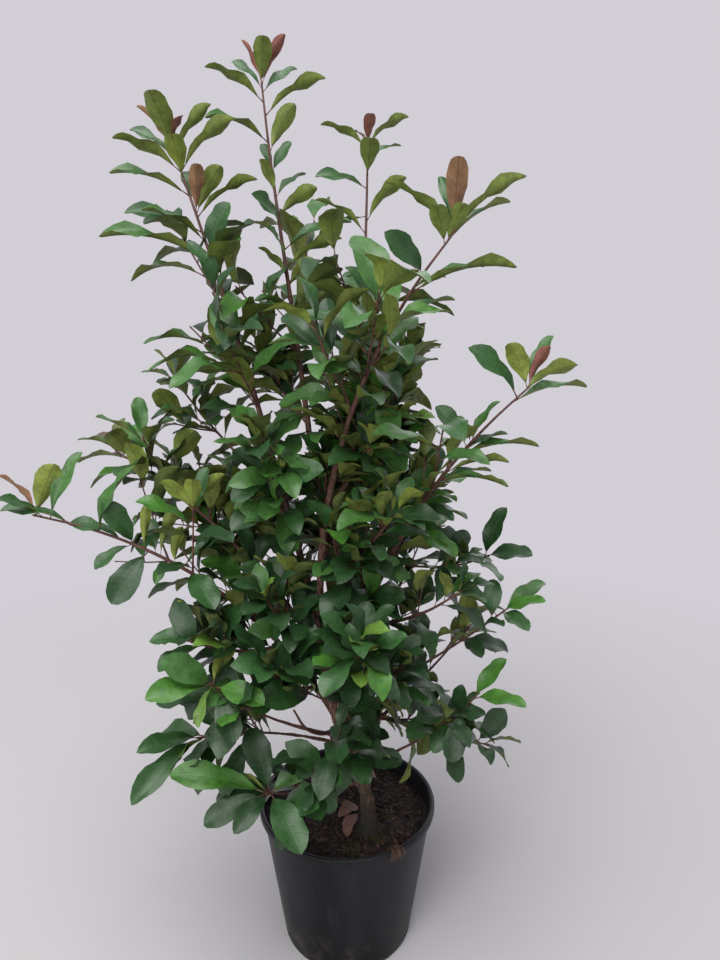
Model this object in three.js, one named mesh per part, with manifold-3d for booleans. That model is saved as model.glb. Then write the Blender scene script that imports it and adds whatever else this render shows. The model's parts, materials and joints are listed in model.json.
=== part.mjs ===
// A red-tipped evergreen shrub with several stems, in a plastic nursery pot.
// Millimetres and degrees, +Z up. The origin is the centre of the pot's flat underside.
//
// Every limb and shoot is one path that turns and leans evenly along its length. A mass of
// foliage is a leafy shoot with side twigs, and its leaves stand in a golden-angle spiral.

import * as THREE from "three";
import { mergeVertices } from "three/addons/utils/BufferGeometryUtils.js";
import Module from "manifold-3d";

const wasm = await Module();
wasm.setup();

// ---------------------------------------------------------------- driving dimensions

const SEAT = 0.3; // the clearance between two solids that touch

const POT = {
  height: 268,
  rimRadius: 163,
  baseRadius: 120,
  wall: 3,
  lipHeight: 13,
  lipWidth: 5,
  round: 2,
  segments: 40,
};
const HOLES = { count: 8, width: 24, height: 11, sill: 3 };
const SOIL = { top: 243, level: 102, drop: 5 };

// Azimuth goes from +X towards +Y, and lean is measured from the vertical. Along a limb the
// azimuth changes by turn and the lean by bend. A limb leaves its parent at the share at.
const TRUNK = { x: 40, y: -54, azimuth: 200, turn: 0, lean: 0, bend: 8, length: 80, steps: 8, sides: 12 };
const TRUNK_RADIUS = { foot: 14, fork: 12 };
const FLARE = { spread: 14, fall: 10, ridges: 4, depth: 0.13 };

const LIMBS = {
  left_stem: { on: "trunk", at: 0.97, azimuth: 175, turn: -13, lean: 14, bend: 1.5, length: 635 },
  middle_stem: { on: "trunk", at: 0.9, azimuth: 118, turn: -45, lean: 14, bend: -6, length: 640 },
  right_stem: { on: "trunk", at: 0.8, azimuth: 37, turn: -50, lean: -25, bend: 39, length: 630 },
  top_stem: { on: "left_stem", at: 0.14, azimuth: 122, turn: 16, lean: 16, bend: -7, length: 625 },
  far_left_stem: { on: "left_stem", at: 0.085, azimuth: 189, turn: 4, lean: 19, bend: 27, length: 390 },
  mid_left_stem: { on: "left_stem", at: 0.22, azimuth: 173, turn: -4, lean: 16, bend: 30, length: 365 },
  far_right_stem: { on: "right_stem", at: 0.08, azimuth: 10, turn: -25, lean: -10, bend: 40, length: 490 },
  upper_left_bough: { on: "left_stem", at: 0.86, azimuth: 137, turn: 12, lean: 65, bend: -13, length: 150 },
  right_mid_bough: { on: "middle_stem", at: 0.71, azimuth: 332, turn: 12, lean: 120, bend: -28, length: 120 },
  right_low_bough: { on: "far_right_stem", at: 0.3, azimuth: 5, turn: -12, lean: 62, bend: -8, length: 150 },
  right_foot_bough: {
    on: "far_right_stem", at: 0.05, azimuth: 350, turn: -5, lean: 65, bend: -14, length: 130,
  },
  left_low_bough: { on: "far_left_stem", at: 0.16, azimuth: 203, turn: 12, lean: 68, bend: -13, length: 145 },
  left_foot_bough: { on: "far_left_stem", at: 0.1, azimuth: 179, turn: 11, lean: 71, bend: 8, length: 130 },
  front_foot_bough: { on: "right_stem", at: 0.07, azimuth: 213, turn: 5, lean: 84, bend: -12, length: 90 },
  back_left_bough: { on: "top_stem", at: 0.25, azimuth: 110, turn: 15, lean: 60, bend: -15, length: 150 },
  back_right_bough: { on: "middle_stem", at: 0.35, azimuth: 60, turn: -10, lean: 60, bend: -15, length: 150 },
};

// A shoot on the end of a limb goes on in the limb's direction, so it has no azimuth or lean.
// fork is one strong side twig: its share of the way, azimuth, lean and length.
const SHOOTS = {
  left_leader: { on: "left_stem", turn: 7, bend: 4, length: 480, fork: [0.46, 182, 38, 178] },
  top_leader: { on: "top_stem", turn: 85, bend: -3, length: 487 },
  middle_leader: { on: "middle_stem", turn: -25, bend: -7, length: 480 },
  right_leader: { on: "right_stem", turn: 0, bend: 26, length: 380 },
  far_right_spray: { on: "far_right_stem", turn: -10, bend: 17, length: 280 },
  far_left_spray: { on: "far_left_stem", turn: -2, bend: 29, length: 326, fork: [0.24, 300, 14, 110] },
  mid_left_spray: { on: "mid_left_stem", turn: -2, bend: 15, length: 264 },
  upper_left_spray: { on: "upper_left_bough", turn: 12, bend: -14, length: 160 },
  right_mid_spray: { on: "right_mid_bough", turn: 13, bend: -28, length: 123 },
  right_low_spray: { on: "right_low_bough", turn: -16, bend: -9, length: 160 },
  right_foot_spray: {
    on: "right_foot_bough", turn: -7, bend: -14, length: 130, fork: [0.12, 352, 112, 100],
  },
  left_low_spray: { on: "left_low_bough", turn: 15, bend: -15, length: 158 },
  left_foot_spray: { on: "left_foot_bough", turn: 12, bend: 9, length: 135 },
  front_foot_spray: { on: "front_foot_bough", turn: 9, bend: -12, length: 109 },
  back_left_spray: { on: "back_left_bough", turn: 10, bend: -15, length: 150 },
  back_right_spray: { on: "back_right_bough", turn: -10, bend: -15, length: 150 },
  back_low: { on: "middle_stem", at: 0.12, azimuth: 95, turn: 15, lean: 70, bend: -24, length: 260 },
  back_foot: { on: "far_right_stem", at: 0.15, azimuth: 40, turn: -15, lean: 72, bend: -24, length: 270 },
  front_heart: { on: "right_stem", at: 0.22, azimuth: 262, turn: 5, lean: 75, bend: -40, length: 180 },
  left_heart: { on: "far_left_stem", at: 0.45, azimuth: 240, turn: 10, lean: 72, bend: -35, length: 180 },
  right_heart: { on: "right_stem", at: 0.36, azimuth: 325, turn: -10, lean: 72, bend: -35, length: 180 },
  front_high: { on: "top_stem", at: 0.62, azimuth: 275, turn: 5, lean: 55, bend: -30, length: 180 },
  front_low: { on: "right_stem", at: 0.26, azimuth: 238, turn: 15, lean: 75, bend: -45, length: 190 },
  front_mid: { on: "right_stem", at: 0.45, azimuth: 300, turn: -15, lean: 75, bend: -45, length: 190 },
  front_crown: { on: "middle_stem", at: 0.5, azimuth: 275, turn: 5, lean: 62, bend: -35, length: 190 },
  left_front: { on: "left_stem", at: 0.45, azimuth: 230, turn: 10, lean: 62, bend: -30, length: 200 },
  left_back: { on: "left_stem", at: 0.6, azimuth: 130, turn: 5, lean: 58, bend: -30, length: 200 },
  left_high: { on: "left_stem", at: 0.8, azimuth: 255, turn: -10, lean: 50, bend: -28, length: 190 },
  top_back: { on: "top_stem", at: 0.45, azimuth: 95, turn: 5, lean: 58, bend: -30, length: 220 },
  top_right: { on: "top_stem", at: 0.78, azimuth: 340, turn: 10, lean: 50, bend: -30, length: 210 },
  top_left: { on: "top_stem", at: 0.92, azimuth: 150, turn: 10, lean: 48, bend: -25, length: 180 },
  crown_right: { on: "middle_stem", at: 0.8, azimuth: 300, turn: 10, lean: 48, bend: -25, length: 200 },
  crown_back: { on: "middle_stem", at: 0.62, azimuth: 80, turn: 0, lean: 56, bend: -30, length: 220 },
  crown_high: { on: "middle_stem", at: 0.93, azimuth: 20, turn: 10, lean: 42, bend: -22, length: 210 },
  right_back: { on: "right_stem", at: 0.88, azimuth: 42, turn: -10, lean: 48, bend: -18, length: 260 },
  right_inner: { on: "right_stem", at: 0.7, azimuth: 330, turn: 10, lean: 58, bend: -25, length: 190 },
  far_right_low: { on: "far_right_stem", at: 0.6, azimuth: 335, turn: 5, lean: 78, bend: -30, length: 180 },
  far_right_back: { on: "far_right_stem", at: 0.8, azimuth: 55, turn: -10, lean: 60, bend: -28, length: 190 },
  far_left_low: { on: "far_left_stem", at: 0.7, azimuth: 215, turn: -5, lean: 88, bend: -30, length: 160 },
  far_left_back: { on: "far_left_stem", at: 0.85, azimuth: 125, turn: 10, lean: 62, bend: -25, length: 200 },
  mid_left_back: { on: "mid_left_stem", at: 0.85, azimuth: 115, turn: 10, lean: 55, bend: -25, length: 190 },
};

// Radii: of a limb's foot by its length, its taper, and the stems and twigs inside a mass.
const GIRTH = { least: 2.4, gain: 0.0092, taper: 0.6, joint: 0.58, stem: 4.5, tip: 2.4, twig: 1.8 };
const STOUT = 300; // a limb longer than this is rounder
const TWIGS = { pitch: 130, first: 0.08, span: 0.6, open: 48, rise: 0.3, shortest: 60, longest: 150 };
const TWIG_SHARE = { low: 0.55, fall: 0.3, least: 0.8, spread: 0.4 };
const LEAFY = { fewest: 4, spacing: 18, gain: 0.016, bare: 0.1, sunk: 4, closing: 1.3 };
const SPRAY = { open: 70, shut: 20, shutting: 1.8, lift: 0.2, alongAxis: 0.55, upwards: 0.75 };
const SCATTER = { turn: 24, open: 16, roll: 0.6, size: 0.26, arch: 0.12 };
const LEAF = { short: 103, gain: 0.045, width: 0.49, sunk: 0.7, thickness: 0.016, widest: 0.56, fold: 18 };
const SHAPE = { arch: 0.13, droop: 0.55, young: 0.74, youngFrom: 0.85, size: 0.9, swell: 0.16 };
const SPACE = { give: 1.35, slack: 12, clearance: 0.5, twig: 3.4, stalk: 0.14 };
const GOLDEN = 137.5;
const STEP = 70; // the length of one straight stretch of a path
const UP = new THREE.Vector3(0, 0, 1);

// ---------------------------------------------------------------- small helpers

const { degToRad, lerp, clamp } = THREE.MathUtils;

/** A repeatable stream of numbers from 0 to 1. */
function stream(seed) {
  let state = seed >>> 0;
  return () => {
    state = (state + 0x6d2b79f5) >>> 0;
    let word = Math.imul(state ^ (state >>> 15), state | 1);
    word ^= word + Math.imul(word ^ (word >>> 7), word | 61);
    return ((word ^ (word >>> 14)) >>> 0) / 4294967296;
  };
}

/** The direction with this azimuth and lean. */
function direction(azimuth, lean) {
  const around = degToRad(azimuth);
  const out = Math.sin(degToRad(lean));
  return new THREE.Vector3(out * Math.cos(around), out * Math.sin(around), Math.cos(degToRad(lean)));
}

/** A point moved by a length along a direction. */
function moved(point, way, length) {
  return point.clone().addScaledVector(way, length);
}

/** Two directions square to an axis: one level, and one as upright as it can be. */
function across(axis) {
  const side = new THREE.Vector3().crossVectors(axis, UP);
  if (side.length() < 0.05) {
    side.crossVectors(axis, new THREE.Vector3(0, 1, 0));
  }
  side.normalize();
  return { side, front: new THREE.Vector3().crossVectors(side, axis) };
}

/** A closed geometry as a solid that can be cut and joined. */
function toSolid(geometry) {
  geometry.deleteAttribute("normal");
  geometry.deleteAttribute("uv");
  const merged = mergeVertices(geometry);
  const vertProperties = new Float32Array(merged.attributes.position.array);
  const triVerts = new Uint32Array(merged.index.array);
  return new wasm.Manifold(new wasm.Mesh({ numProp: 3, vertProperties, triVerts }));
}

/** A solid as a geometry. */
function toGeometry(solid) {
  const mesh = solid.getMesh();
  const geometry = new THREE.BufferGeometry();
  geometry.setAttribute("position", new THREE.BufferAttribute(new Float32Array(mesh.vertProperties), 3));
  geometry.setIndex(new THREE.BufferAttribute(new Uint32Array(mesh.triVerts), 1));
  return geometry;
}

/** The largest connected piece of a solid. */
function mainPiece(solid) {
  return solid.decompose().reduce((best, piece) => (piece.volume() > best.volume() ? piece : best));
}

// ---------------------------------------------------------------- the pot and its soil

/** A profile of [radius, height] points turned about the vertical axis. */
function turned(profile, segments) {
  const points = profile.map(([radius, height]) => new THREE.Vector2(radius, height));
  const geometry = new THREE.LatheGeometry(points, segments);
  geometry.rotateX(Math.PI / 2);
  return toSolid(geometry);
}

/** The outside radius of the pot's wall at a height. */
function wallRadius(height) {
  return lerp(POT.baseRadius, POT.rimRadius - POT.lipWidth, height / POT.height);
}

/** The pot: a thin tapering wall with a flat lip, and drain holes round its foot. */
function potSolid() {
  const { height, rimRadius, baseRadius, wall, lipHeight, round } = POT;
  const lip = height - lipHeight;
  const profile = [
    [0, 0],
    [baseRadius - round, 0],
    [wallRadius(round), round],
    [wallRadius(lip), lip],
    [rimRadius, lip],
    [rimRadius, height - round],
    [rimRadius - round, height],
    [wallRadius(height) - wall + round, height],
    [wallRadius(lip) - wall, lip],
    [wallRadius(wall) - wall, wall],
    [0, wall],
  ];
  let pot = turned(profile, POT.segments);
  for (let i = 0; i < HOLES.count; i += 1) {
    const slot = new THREE.BoxGeometry(4 * wall, HOLES.width, HOLES.height);
    slot.translate(wallRadius(HOLES.height) - wall / 2, 0, HOLES.sill + HOLES.height / 2);
    slot.rotateZ((2 * Math.PI * (i + 0.5)) / HOLES.count);
    pot = pot.subtract(toSolid(slot));
  }
  return pot;
}

/** The soil that fills the pot, a little lower at the wall. */
function soilSolid() {
  const floor = POT.wall + SEAT;
  const edge = SOIL.top - SOIL.drop;
  const inner = (height) => wallRadius(height) - POT.wall - 2 * SEAT;
  const profile = [
    [0, floor],
    [inner(floor), floor],
    [inner(edge), edge],
    [SOIL.level, SOIL.top],
    [0, SOIL.top],
  ];
  return turned(profile, POT.segments);
}

// ---------------------------------------------------------------- paths and tubes

/** The points of a path that turns and leans evenly from a start point. */
function sweep(start, { azimuth, turn, lean, bend, length, steps }) {
  const count = steps ?? Math.max(3, Math.round(length / STEP));
  const points = [start];
  for (let i = 0; i < count; i += 1) {
    const share = (i + 0.5) / count;
    points.push(moved(points[i], direction(azimuth + turn * share, lean + bend * share), length / count));
  }
  return points;
}

/** The two ends of a straight twig that lifts a little towards the light. */
function rising(start, heading, length) {
  const way = moved(heading, UP, TWIGS.rise).normalize();
  return [start, moved(start, way, length)];
}

/** The point and the direction at a share of a path. */
function pointAt(points, share) {
  const place = clamp(share, 0, 1) * (points.length - 1);
  const index = Math.min(Math.floor(place), points.length - 2);
  const heading = points[index + 1].clone().sub(points[index]).normalize();
  return { point: points[index].clone().lerp(points[index + 1], place - index), heading };
}

/** A closed tube along a path, whose radius is radiusAt(share, angle). */
function tube(points, radiusAt, sides) {
  const rows = points.length - 1;
  const frames = [];
  let { side } = across(pointAt(points, 0).heading);
  for (let row = 0; row <= rows; row += 1) {
    const tangent = points[Math.min(row + 1, rows)].clone().sub(points[Math.max(row - 1, 0)]).normalize();
    side = moved(side, tangent, -side.dot(tangent)).normalize();
    frames.push({ side, front: new THREE.Vector3().crossVectors(side, tangent) });
  }
  const geometry = new THREE.CylinderGeometry(1, 1, 1, sides, rows);
  const position = geometry.attributes.position;
  const local = new THREE.Vector3();
  for (let i = 0; i < position.count; i += 1) {
    local.fromBufferAttribute(position, i);
    const row = Math.round((local.y + 0.5) * rows);
    const radius = radiusAt(row / rows, Math.atan2(local.z, local.x));
    const { side: right, front } = frames[row];
    const place = moved(moved(points[row], right, local.x * radius), front, local.z * radius);
    position.setXYZ(i, place.x, place.y, place.z);
  }
  return toSolid(geometry);
}

// ---------------------------------------------------------------- limbs

/** The radius at the foot of a limb of this length. */
function girth(length) {
  return GIRTH.least + GIRTH.gain * length;
}

/** The trunk's radius: a true taper, with a ridged root flare at its foot. */
function trunkRadius(share, angle) {
  const height = share * TRUNK.length;
  const fall = Math.exp(-height / FLARE.fall);
  const ridges = 1 + FLARE.depth * Math.cos(FLARE.ridges * angle) * fall;
  return (lerp(TRUNK_RADIUS.foot, TRUNK_RADIUS.fork, share) + FLARE.spread * fall) * ridges;
}

const paths = {};
const solids = {};
const grown = {}; // each limb and main shoot, larger all round by the seat

/** Lays down a limb's or shoot's path, from its parent's side or on from its parent's end. */
function lay(name, row) {
  const parent = paths[row.on];
  const { point } = pointAt(parent.points, row.at ?? 1);
  const azimuth = row.azimuth ?? parent.azimuth;
  const lean = row.lean ?? parent.lean;
  const points = sweep(point, { ...row, azimuth, lean });
  paths[name] = { points, azimuth: azimuth + row.turn, lean: lean + row.bend };
  return points;
}

/** A path that goes on past its end by the seat. */
function lengthened(points) {
  return [...points, moved(points.at(-1), pointAt(points, 1).heading, SEAT)];
}

/** A path's tube, seated clear of its parent and of the limbs that left it before. */
function seat(name, points, [foot, end], sides) {
  const solid = tube(points, (share) => lerp(foot, end, share), sides);
  const cut = Object.values(grown).reduce((rest, other) => rest.subtract(other), solid);
  grown[name] = tube(lengthened(points), (share) => lerp(foot, end, share) + SEAT, sides);
  return mainPiece(cut);
}

/** The trunk, from the soil to the fork. */
function growTrunk() {
  const points = sweep(new THREE.Vector3(TRUNK.x, TRUNK.y, SOIL.top + SEAT), TRUNK);
  paths.trunk = { points, azimuth: TRUNK.azimuth, lean: TRUNK.bend };
  solids.trunk = tube(points, trunkRadius, TRUNK.sides);
  grown.trunk = tube(lengthened(points), (share, angle) => trunkRadius(share, angle) + SEAT, TRUNK.sides);
}

/** One stem or bough, stouter the longer it is. */
function growLimb(name, row) {
  const foot = girth(row.length);
  const points = lay(name, row);
  solids[name] = seat(name, points, [foot, GIRTH.taper * foot], row.length > STOUT ? 7 : 5);
}

// ---------------------------------------------------------------- foliage

/** One leaf: a folded, arched kite of eight faces. It starts at the share from, larger by spare. */
function leafSolid({ root, heading, face, length, arch }, { from = 0, spare = 0 } = {}) {
  const side = new THREE.Vector3().crossVectors(heading, face);
  const half = (LEAF.width * length) / 2 + spare;
  const deep = (LEAF.thickness * length) / 2 + spare;
  const rise = (share) => arch * length * (2 * share * (1 - share) - SHAPE.droop * share * share);
  const middle = (share) => moved(moved(root, heading, share * length), face, rise(share));
  const wide = middle(LEAF.widest);
  const margin = moved(wide, face, half * Math.tan(degToRad(LEAF.fold)));
  const corners = [
    from ? middle(from) : moved(root, heading, -LEAF.sunk),
    moved(margin, side, half),
    moved(margin, side, -half),
    moved(wide, face, deep),
    moved(wide, face, -deep),
    middle(1),
  ];
  const [foot, right, left, ridge, keel, tip] = corners.keys();
  const geometry = new THREE.BufferGeometry().setFromPoints(corners);
  geometry.setIndex([
    [foot, right, ridge, right, tip, ridge, tip, left, ridge, left, foot, ridge],
    [foot, keel, right, right, keel, tip, tip, keel, left, left, keel, foot],
  ].flat());
  return toSolid(geometry);
}

/** The direction that opens from an axis by one angle, at another angle around it. */
function opened(axis, around, open) {
  const { side, front } = across(axis);
  const [turnBy, openBy] = [degToRad(around), degToRad(open)];
  const out = moved(side.multiplyScalar(Math.cos(turnBy)), front, Math.sin(turnBy));
  return moved(axis.clone().multiplyScalar(Math.cos(openBy)), out, Math.sin(openBy));
}

/** The leaves along a twig, in a golden-angle spiral that closes up to the bud. */
function leavesOn({ points, length, seed }, grownLeaf) {
  const draw = stream(seed);
  const phase = 360 * draw();
  const spacing = LEAFY.spacing + LEAFY.gain * length;
  const count = Math.max(LEAFY.fewest, Math.round((length * (1 - LEAFY.bare)) / spacing));
  const reach = 1 - LEAFY.bare - LEAFY.sunk / length;
  return Array.from({ length: count }, (_, i) => {
    const late = i / (count - 1);
    const [turnBy, openBy, rollBy, sizeBy, archBy] = Array.from({ length: 5 }, () => draw() - 0.5);
    const share = LEAFY.bare + reach * (1 - (1 - late) ** LEAFY.closing);
    const { point: root, heading: axis } = pointAt(points, share);
    const open = lerp(SPRAY.open, SPRAY.shut, late ** SPRAY.shutting) + SCATTER.open * openBy;
    const heading = opened(axis, phase + i * GOLDEN + SCATTER.turn * turnBy, open);
    heading.addScaledVector(UP, SPRAY.lift * Math.sin(degToRad(open))).normalize();
    const face = moved(axis.clone().multiplyScalar(SPRAY.alongAxis), UP, SPRAY.upwards);
    face.addScaledVector(heading, -face.dot(heading)).normalize();
    face.applyAxisAngle(heading, SCATTER.roll * rollBy);
    const age = SHAPE.size + SHAPE.swell * Math.sin(Math.PI * lerp(0.25, 0.85, late));
    const young = late > SHAPE.youngFrom ? SHAPE.young : 1;
    const size = grownLeaf * age * young * (1 + SCATTER.size * sizeBy);
    return { root, heading, face, length: size, arch: SHAPE.arch + SCATTER.arch * archBy };
  });
}

/** The side twigs of a shoot: each one's points, length and seed. */
function twigsOf(points, row, seed) {
  const twigs = [];
  if (row.fork) {
    const [at, azimuth, lean, length] = row.fork;
    const start = pointAt(points, at).point;
    twigs.push({ points: rising(start, direction(azimuth, lean), length), length, seed: seed + 90 });
  }
  for (let k = 0; k < Math.round(row.length / TWIGS.pitch); k += 1) {
    const draw = stream(seed + k);
    const at = TWIGS.first + TWIGS.span * ((0.25 + k * 0.618) % 1);
    const { point, heading: axis } = pointAt(points, at);
    const around = GOLDEN * k + 360 * draw();
    const heading = opened(axis, around, TWIGS.open + SCATTER.open * (draw() - 0.5));
    const share = (TWIG_SHARE.low - TWIG_SHARE.fall * at) * (TWIG_SHARE.least + TWIG_SHARE.spread * draw());
    const length = clamp(row.length * share, TWIGS.shortest, TWIGS.longest);
    twigs.push({ points: rising(point, heading, length), length, seed: seed + 10 + k });
  }
  return twigs;
}

const boxes = new Map();

/** Whether two solids' boxes meet and the solids themselves touch. */
function touch(a, b) {
  for (const solid of [a, b]) {
    if (!boxes.has(solid)) {
      boxes.set(solid, solid.boundingBox());
    }
  }
  const [first, second] = [boxes.get(a), boxes.get(b)];
  const near = [0, 1, 2].every((k) => first.min[k] <= second.max[k] && second.min[k] <= first.max[k]);
  return near && !a.intersect(b).isEmpty();
}

/** The distance from a point to a path. */
function gapTo(points, point) {
  const closest = new THREE.Vector3();
  const gaps = points.slice(1).map((end, i) => {
    new THREE.Line3(points[i], end).closestPointToPoint(point, true, closest);
    return closest.distanceTo(point);
  });
  return Math.min(...gaps);
}

/** Whether a point lies in a mass's own space, by the nearest shoot with some give. */
function ownSpace(name, twigs, point) {
  const own = Math.min(...twigs.map((twig) => gapTo(twig.points, point)));
  const rivals = Object.keys(SHOOTS).filter((other) => other !== name);
  return rivals.every((other) => own < SPACE.give * gapTo(paths[other].points, point) + SPACE.slack);
}

const masses = {};

/** Every solid of the masses other than this one. */
function rivalsOf(name) {
  return Object.keys(masses).filter((other) => other !== name).flatMap((other) => masses[other].solids);
}

/** Starts a mass with its stem. */
function growShoot(name, row, index) {
  const points = lay(name, row);
  const most = row.at === undefined ? GIRTH.joint * girth(LIMBS[row.on].length) : GIRTH.stem;
  const stem = seat(name, points, [Math.min(girth(row.length), most), GIRTH.tip], 3);
  masses[name] = { row, seed: 1000 * (index + 1), points, twigs: [], solids: [stem] };
}

/** Adds the side twigs that keep clear of every limb and of the other masses. */
function growTwigs(name) {
  const mass = masses[name];
  const limbs = Object.keys(grown).filter((other) => other !== name).map((other) => grown[other]);
  mass.twigs.push({ points: mass.points, length: mass.row.length, seed: mass.seed + 50 });
  for (const twig of twigsOf(mass.points, mass.row, mass.seed)) {
    const probe = tube(twig.points, () => SPACE.twig, 3);
    if ([...limbs, ...rivalsOf(name)].some((solid) => touch(probe, solid))) {
      continue;
    }
    mass.twigs.push(twig);
    mass.solids.push(tube(twig.points, () => GIRTH.twig, 3));
  }
}

/** Adds the leaves that stay in the mass's own space and touch nothing. */
function growLeaves(name, obstacles) {
  const mass = masses[name];
  const grownLeaf = LEAF.short + LEAF.gain * mass.row.length;
  const others = [...obstacles, ...rivalsOf(name)];
  const blades = [];
  for (const leaf of mass.twigs.flatMap((twig) => leavesOn(twig, grownLeaf))) {
    const blade = leafSolid(leaf, { from: SPACE.stalk, spare: SPACE.clearance });
    const whole = leafSolid(leaf, { spare: SPACE.clearance });
    const inside = [0.5, 1].every((share) => {
      return ownSpace(name, mass.twigs, moved(leaf.root, leaf.heading, share * leaf.length));
    });
    const meets = inside && others.some((solid) => touch(whole, solid));
    if (inside && !meets && !blades.some((solid) => touch(blade, solid))) {
      blades.push(blade);
      mass.solids.push(leafSolid(leaf));
    }
  }
}

// ---------------------------------------------------------------- the assembly

/** A dull finish of one colour. */
function material(color, roughness) {
  return new THREE.MeshStandardMaterial({ color, roughness, metalness: 0, flatShading: true });
}

solids.pot = potSolid();
solids.soil = soilSolid();
growTrunk();
Object.entries(LIMBS).forEach(([name, row]) => growLimb(name, row));
Object.entries(SHOOTS).forEach(([name, row], index) => growShoot(name, row, index));
Object.keys(masses).forEach(growTwigs);
const obstacles = [solids.pot, solids.soil, grown.trunk, ...Object.keys(LIMBS).map((name) => grown[name])];
Object.keys(masses).forEach((name) => growLeaves(name, obstacles));

const plant = new THREE.Group();

/** Adds a solid to the plant under its name. */
function place(name, solid, finish) {
  const mesh = new THREE.Mesh(toGeometry(solid), finish);
  mesh.name = name;
  plant.add(mesh);
}

const FINISH = {
  pot: material(0x1d1e20, 0.45),
  soil: material(0x3a2b20, 0.95),
  bark: material(0x5d4238, 0.85),
  leaves: material(0x35602e, 0.4),
};
Object.entries(solids).forEach(([name, solid]) => place(name, solid, FINISH[name] ?? FINISH.bark));
for (const [name, mass] of Object.entries(masses)) {
  place(`${name}_foliage`, wasm.Manifold.union(mass.solids), FINISH.leaves);
}

export default plant;
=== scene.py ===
"""A tall photinia shrub with several stems and red young tips, in a black nursery pot.

Metres and degrees, +Z up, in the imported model's frame: the origin is the centre of the pot's
flat underside. The limbs and the foliage grow by the solids' own rule, whose lengths are in
millimetres, and it is carried here to finer twigs and to leaves of their real size.
"""

import json
import logging
import math
from collections.abc import Callable, Iterator
from dataclasses import dataclass, field
from enum import Enum, IntEnum

import bmesh
import bpy
import numpy as np
from bpy.types import Collection, Material, Mesh, Node, NodeTree, Object
from bpy.types import NodeSocket as Socket
from mathutils import Euler, Matrix, Vector, noise

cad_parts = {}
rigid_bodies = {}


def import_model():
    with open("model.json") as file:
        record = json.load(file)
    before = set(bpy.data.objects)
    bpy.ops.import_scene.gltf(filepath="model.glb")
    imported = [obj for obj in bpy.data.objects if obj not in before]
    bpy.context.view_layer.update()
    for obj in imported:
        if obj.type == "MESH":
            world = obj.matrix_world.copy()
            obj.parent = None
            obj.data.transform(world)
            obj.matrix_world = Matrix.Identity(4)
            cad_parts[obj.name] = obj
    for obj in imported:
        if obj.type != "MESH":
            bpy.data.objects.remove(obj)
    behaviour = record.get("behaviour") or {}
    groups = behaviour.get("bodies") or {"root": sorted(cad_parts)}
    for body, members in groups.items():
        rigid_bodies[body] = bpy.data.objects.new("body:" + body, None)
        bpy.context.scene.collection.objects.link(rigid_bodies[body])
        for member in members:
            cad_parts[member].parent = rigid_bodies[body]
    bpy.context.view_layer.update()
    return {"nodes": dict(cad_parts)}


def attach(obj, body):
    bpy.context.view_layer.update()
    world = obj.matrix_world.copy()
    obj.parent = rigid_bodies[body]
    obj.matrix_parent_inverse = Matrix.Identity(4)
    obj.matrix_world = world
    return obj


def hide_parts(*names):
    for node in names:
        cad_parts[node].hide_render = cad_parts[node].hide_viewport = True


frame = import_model()

Triple = tuple[float, float, float]
Colour = Triple
Pair = tuple[float, float]
Path = list[Vector]
Draw = Callable[[], float]
Outline = tuple[Pair, ...]

LOG = logging.getLogger("photinia")
BODY = "root"
MM = 0.001
UP = Vector((0.0, 0.0, 1.0))


# ---- node trees


class Recipe:
    """A node tree that is built one node at a time."""

    def __init__(self, tree: NodeTree) -> None:
        """Starts on a tree, whose own nodes are cleared."""
        self.tree = tree
        tree.nodes.clear()

    def feed(self, socket: Socket, value: object) -> None:
        """Links a socket to the output that feeds it, or sets its value."""
        if isinstance(value, Socket):
            self.tree.links.new(value, socket)
        else:
            socket.default_value = value

    def add(self, kind: str, inputs: dict | None = None, **settings: object) -> Node:
        """Adds a node.

        Args:
            kind: the node's type name.
            inputs: for each input's name or number, a value or the output socket that feeds it.
            settings: the node's own properties.

        Returns:
            The new node.
        """
        node = self.tree.nodes.new(kind)
        for name, value in settings.items():
            setattr(node, name, value)
        for name, value in (inputs or {}).items():
            self.feed(node.inputs[name], value)
        return node

    def maths(self, operation: str, *values: object) -> Socket:
        """Adds a sum of one, two or three values and returns its result."""
        return self.add("ShaderNodeMath", dict(enumerate(values)), operation=operation).outputs[0]

    def vectors(self, operation: str, *values: object) -> Socket:
        """Adds a sum of vectors and returns its result."""
        return self.add("ShaderNodeVectorMath", dict(enumerate(values)), operation=operation).outputs[0]


@dataclass(frozen=True)
class Pattern:
    """A cloudy pattern: its scale, its detail, the values it runs between and its stretch in Z."""

    scale: float
    detail: float
    low: float = 0.0
    high: float = 1.0
    along: float = 1.0


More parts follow.
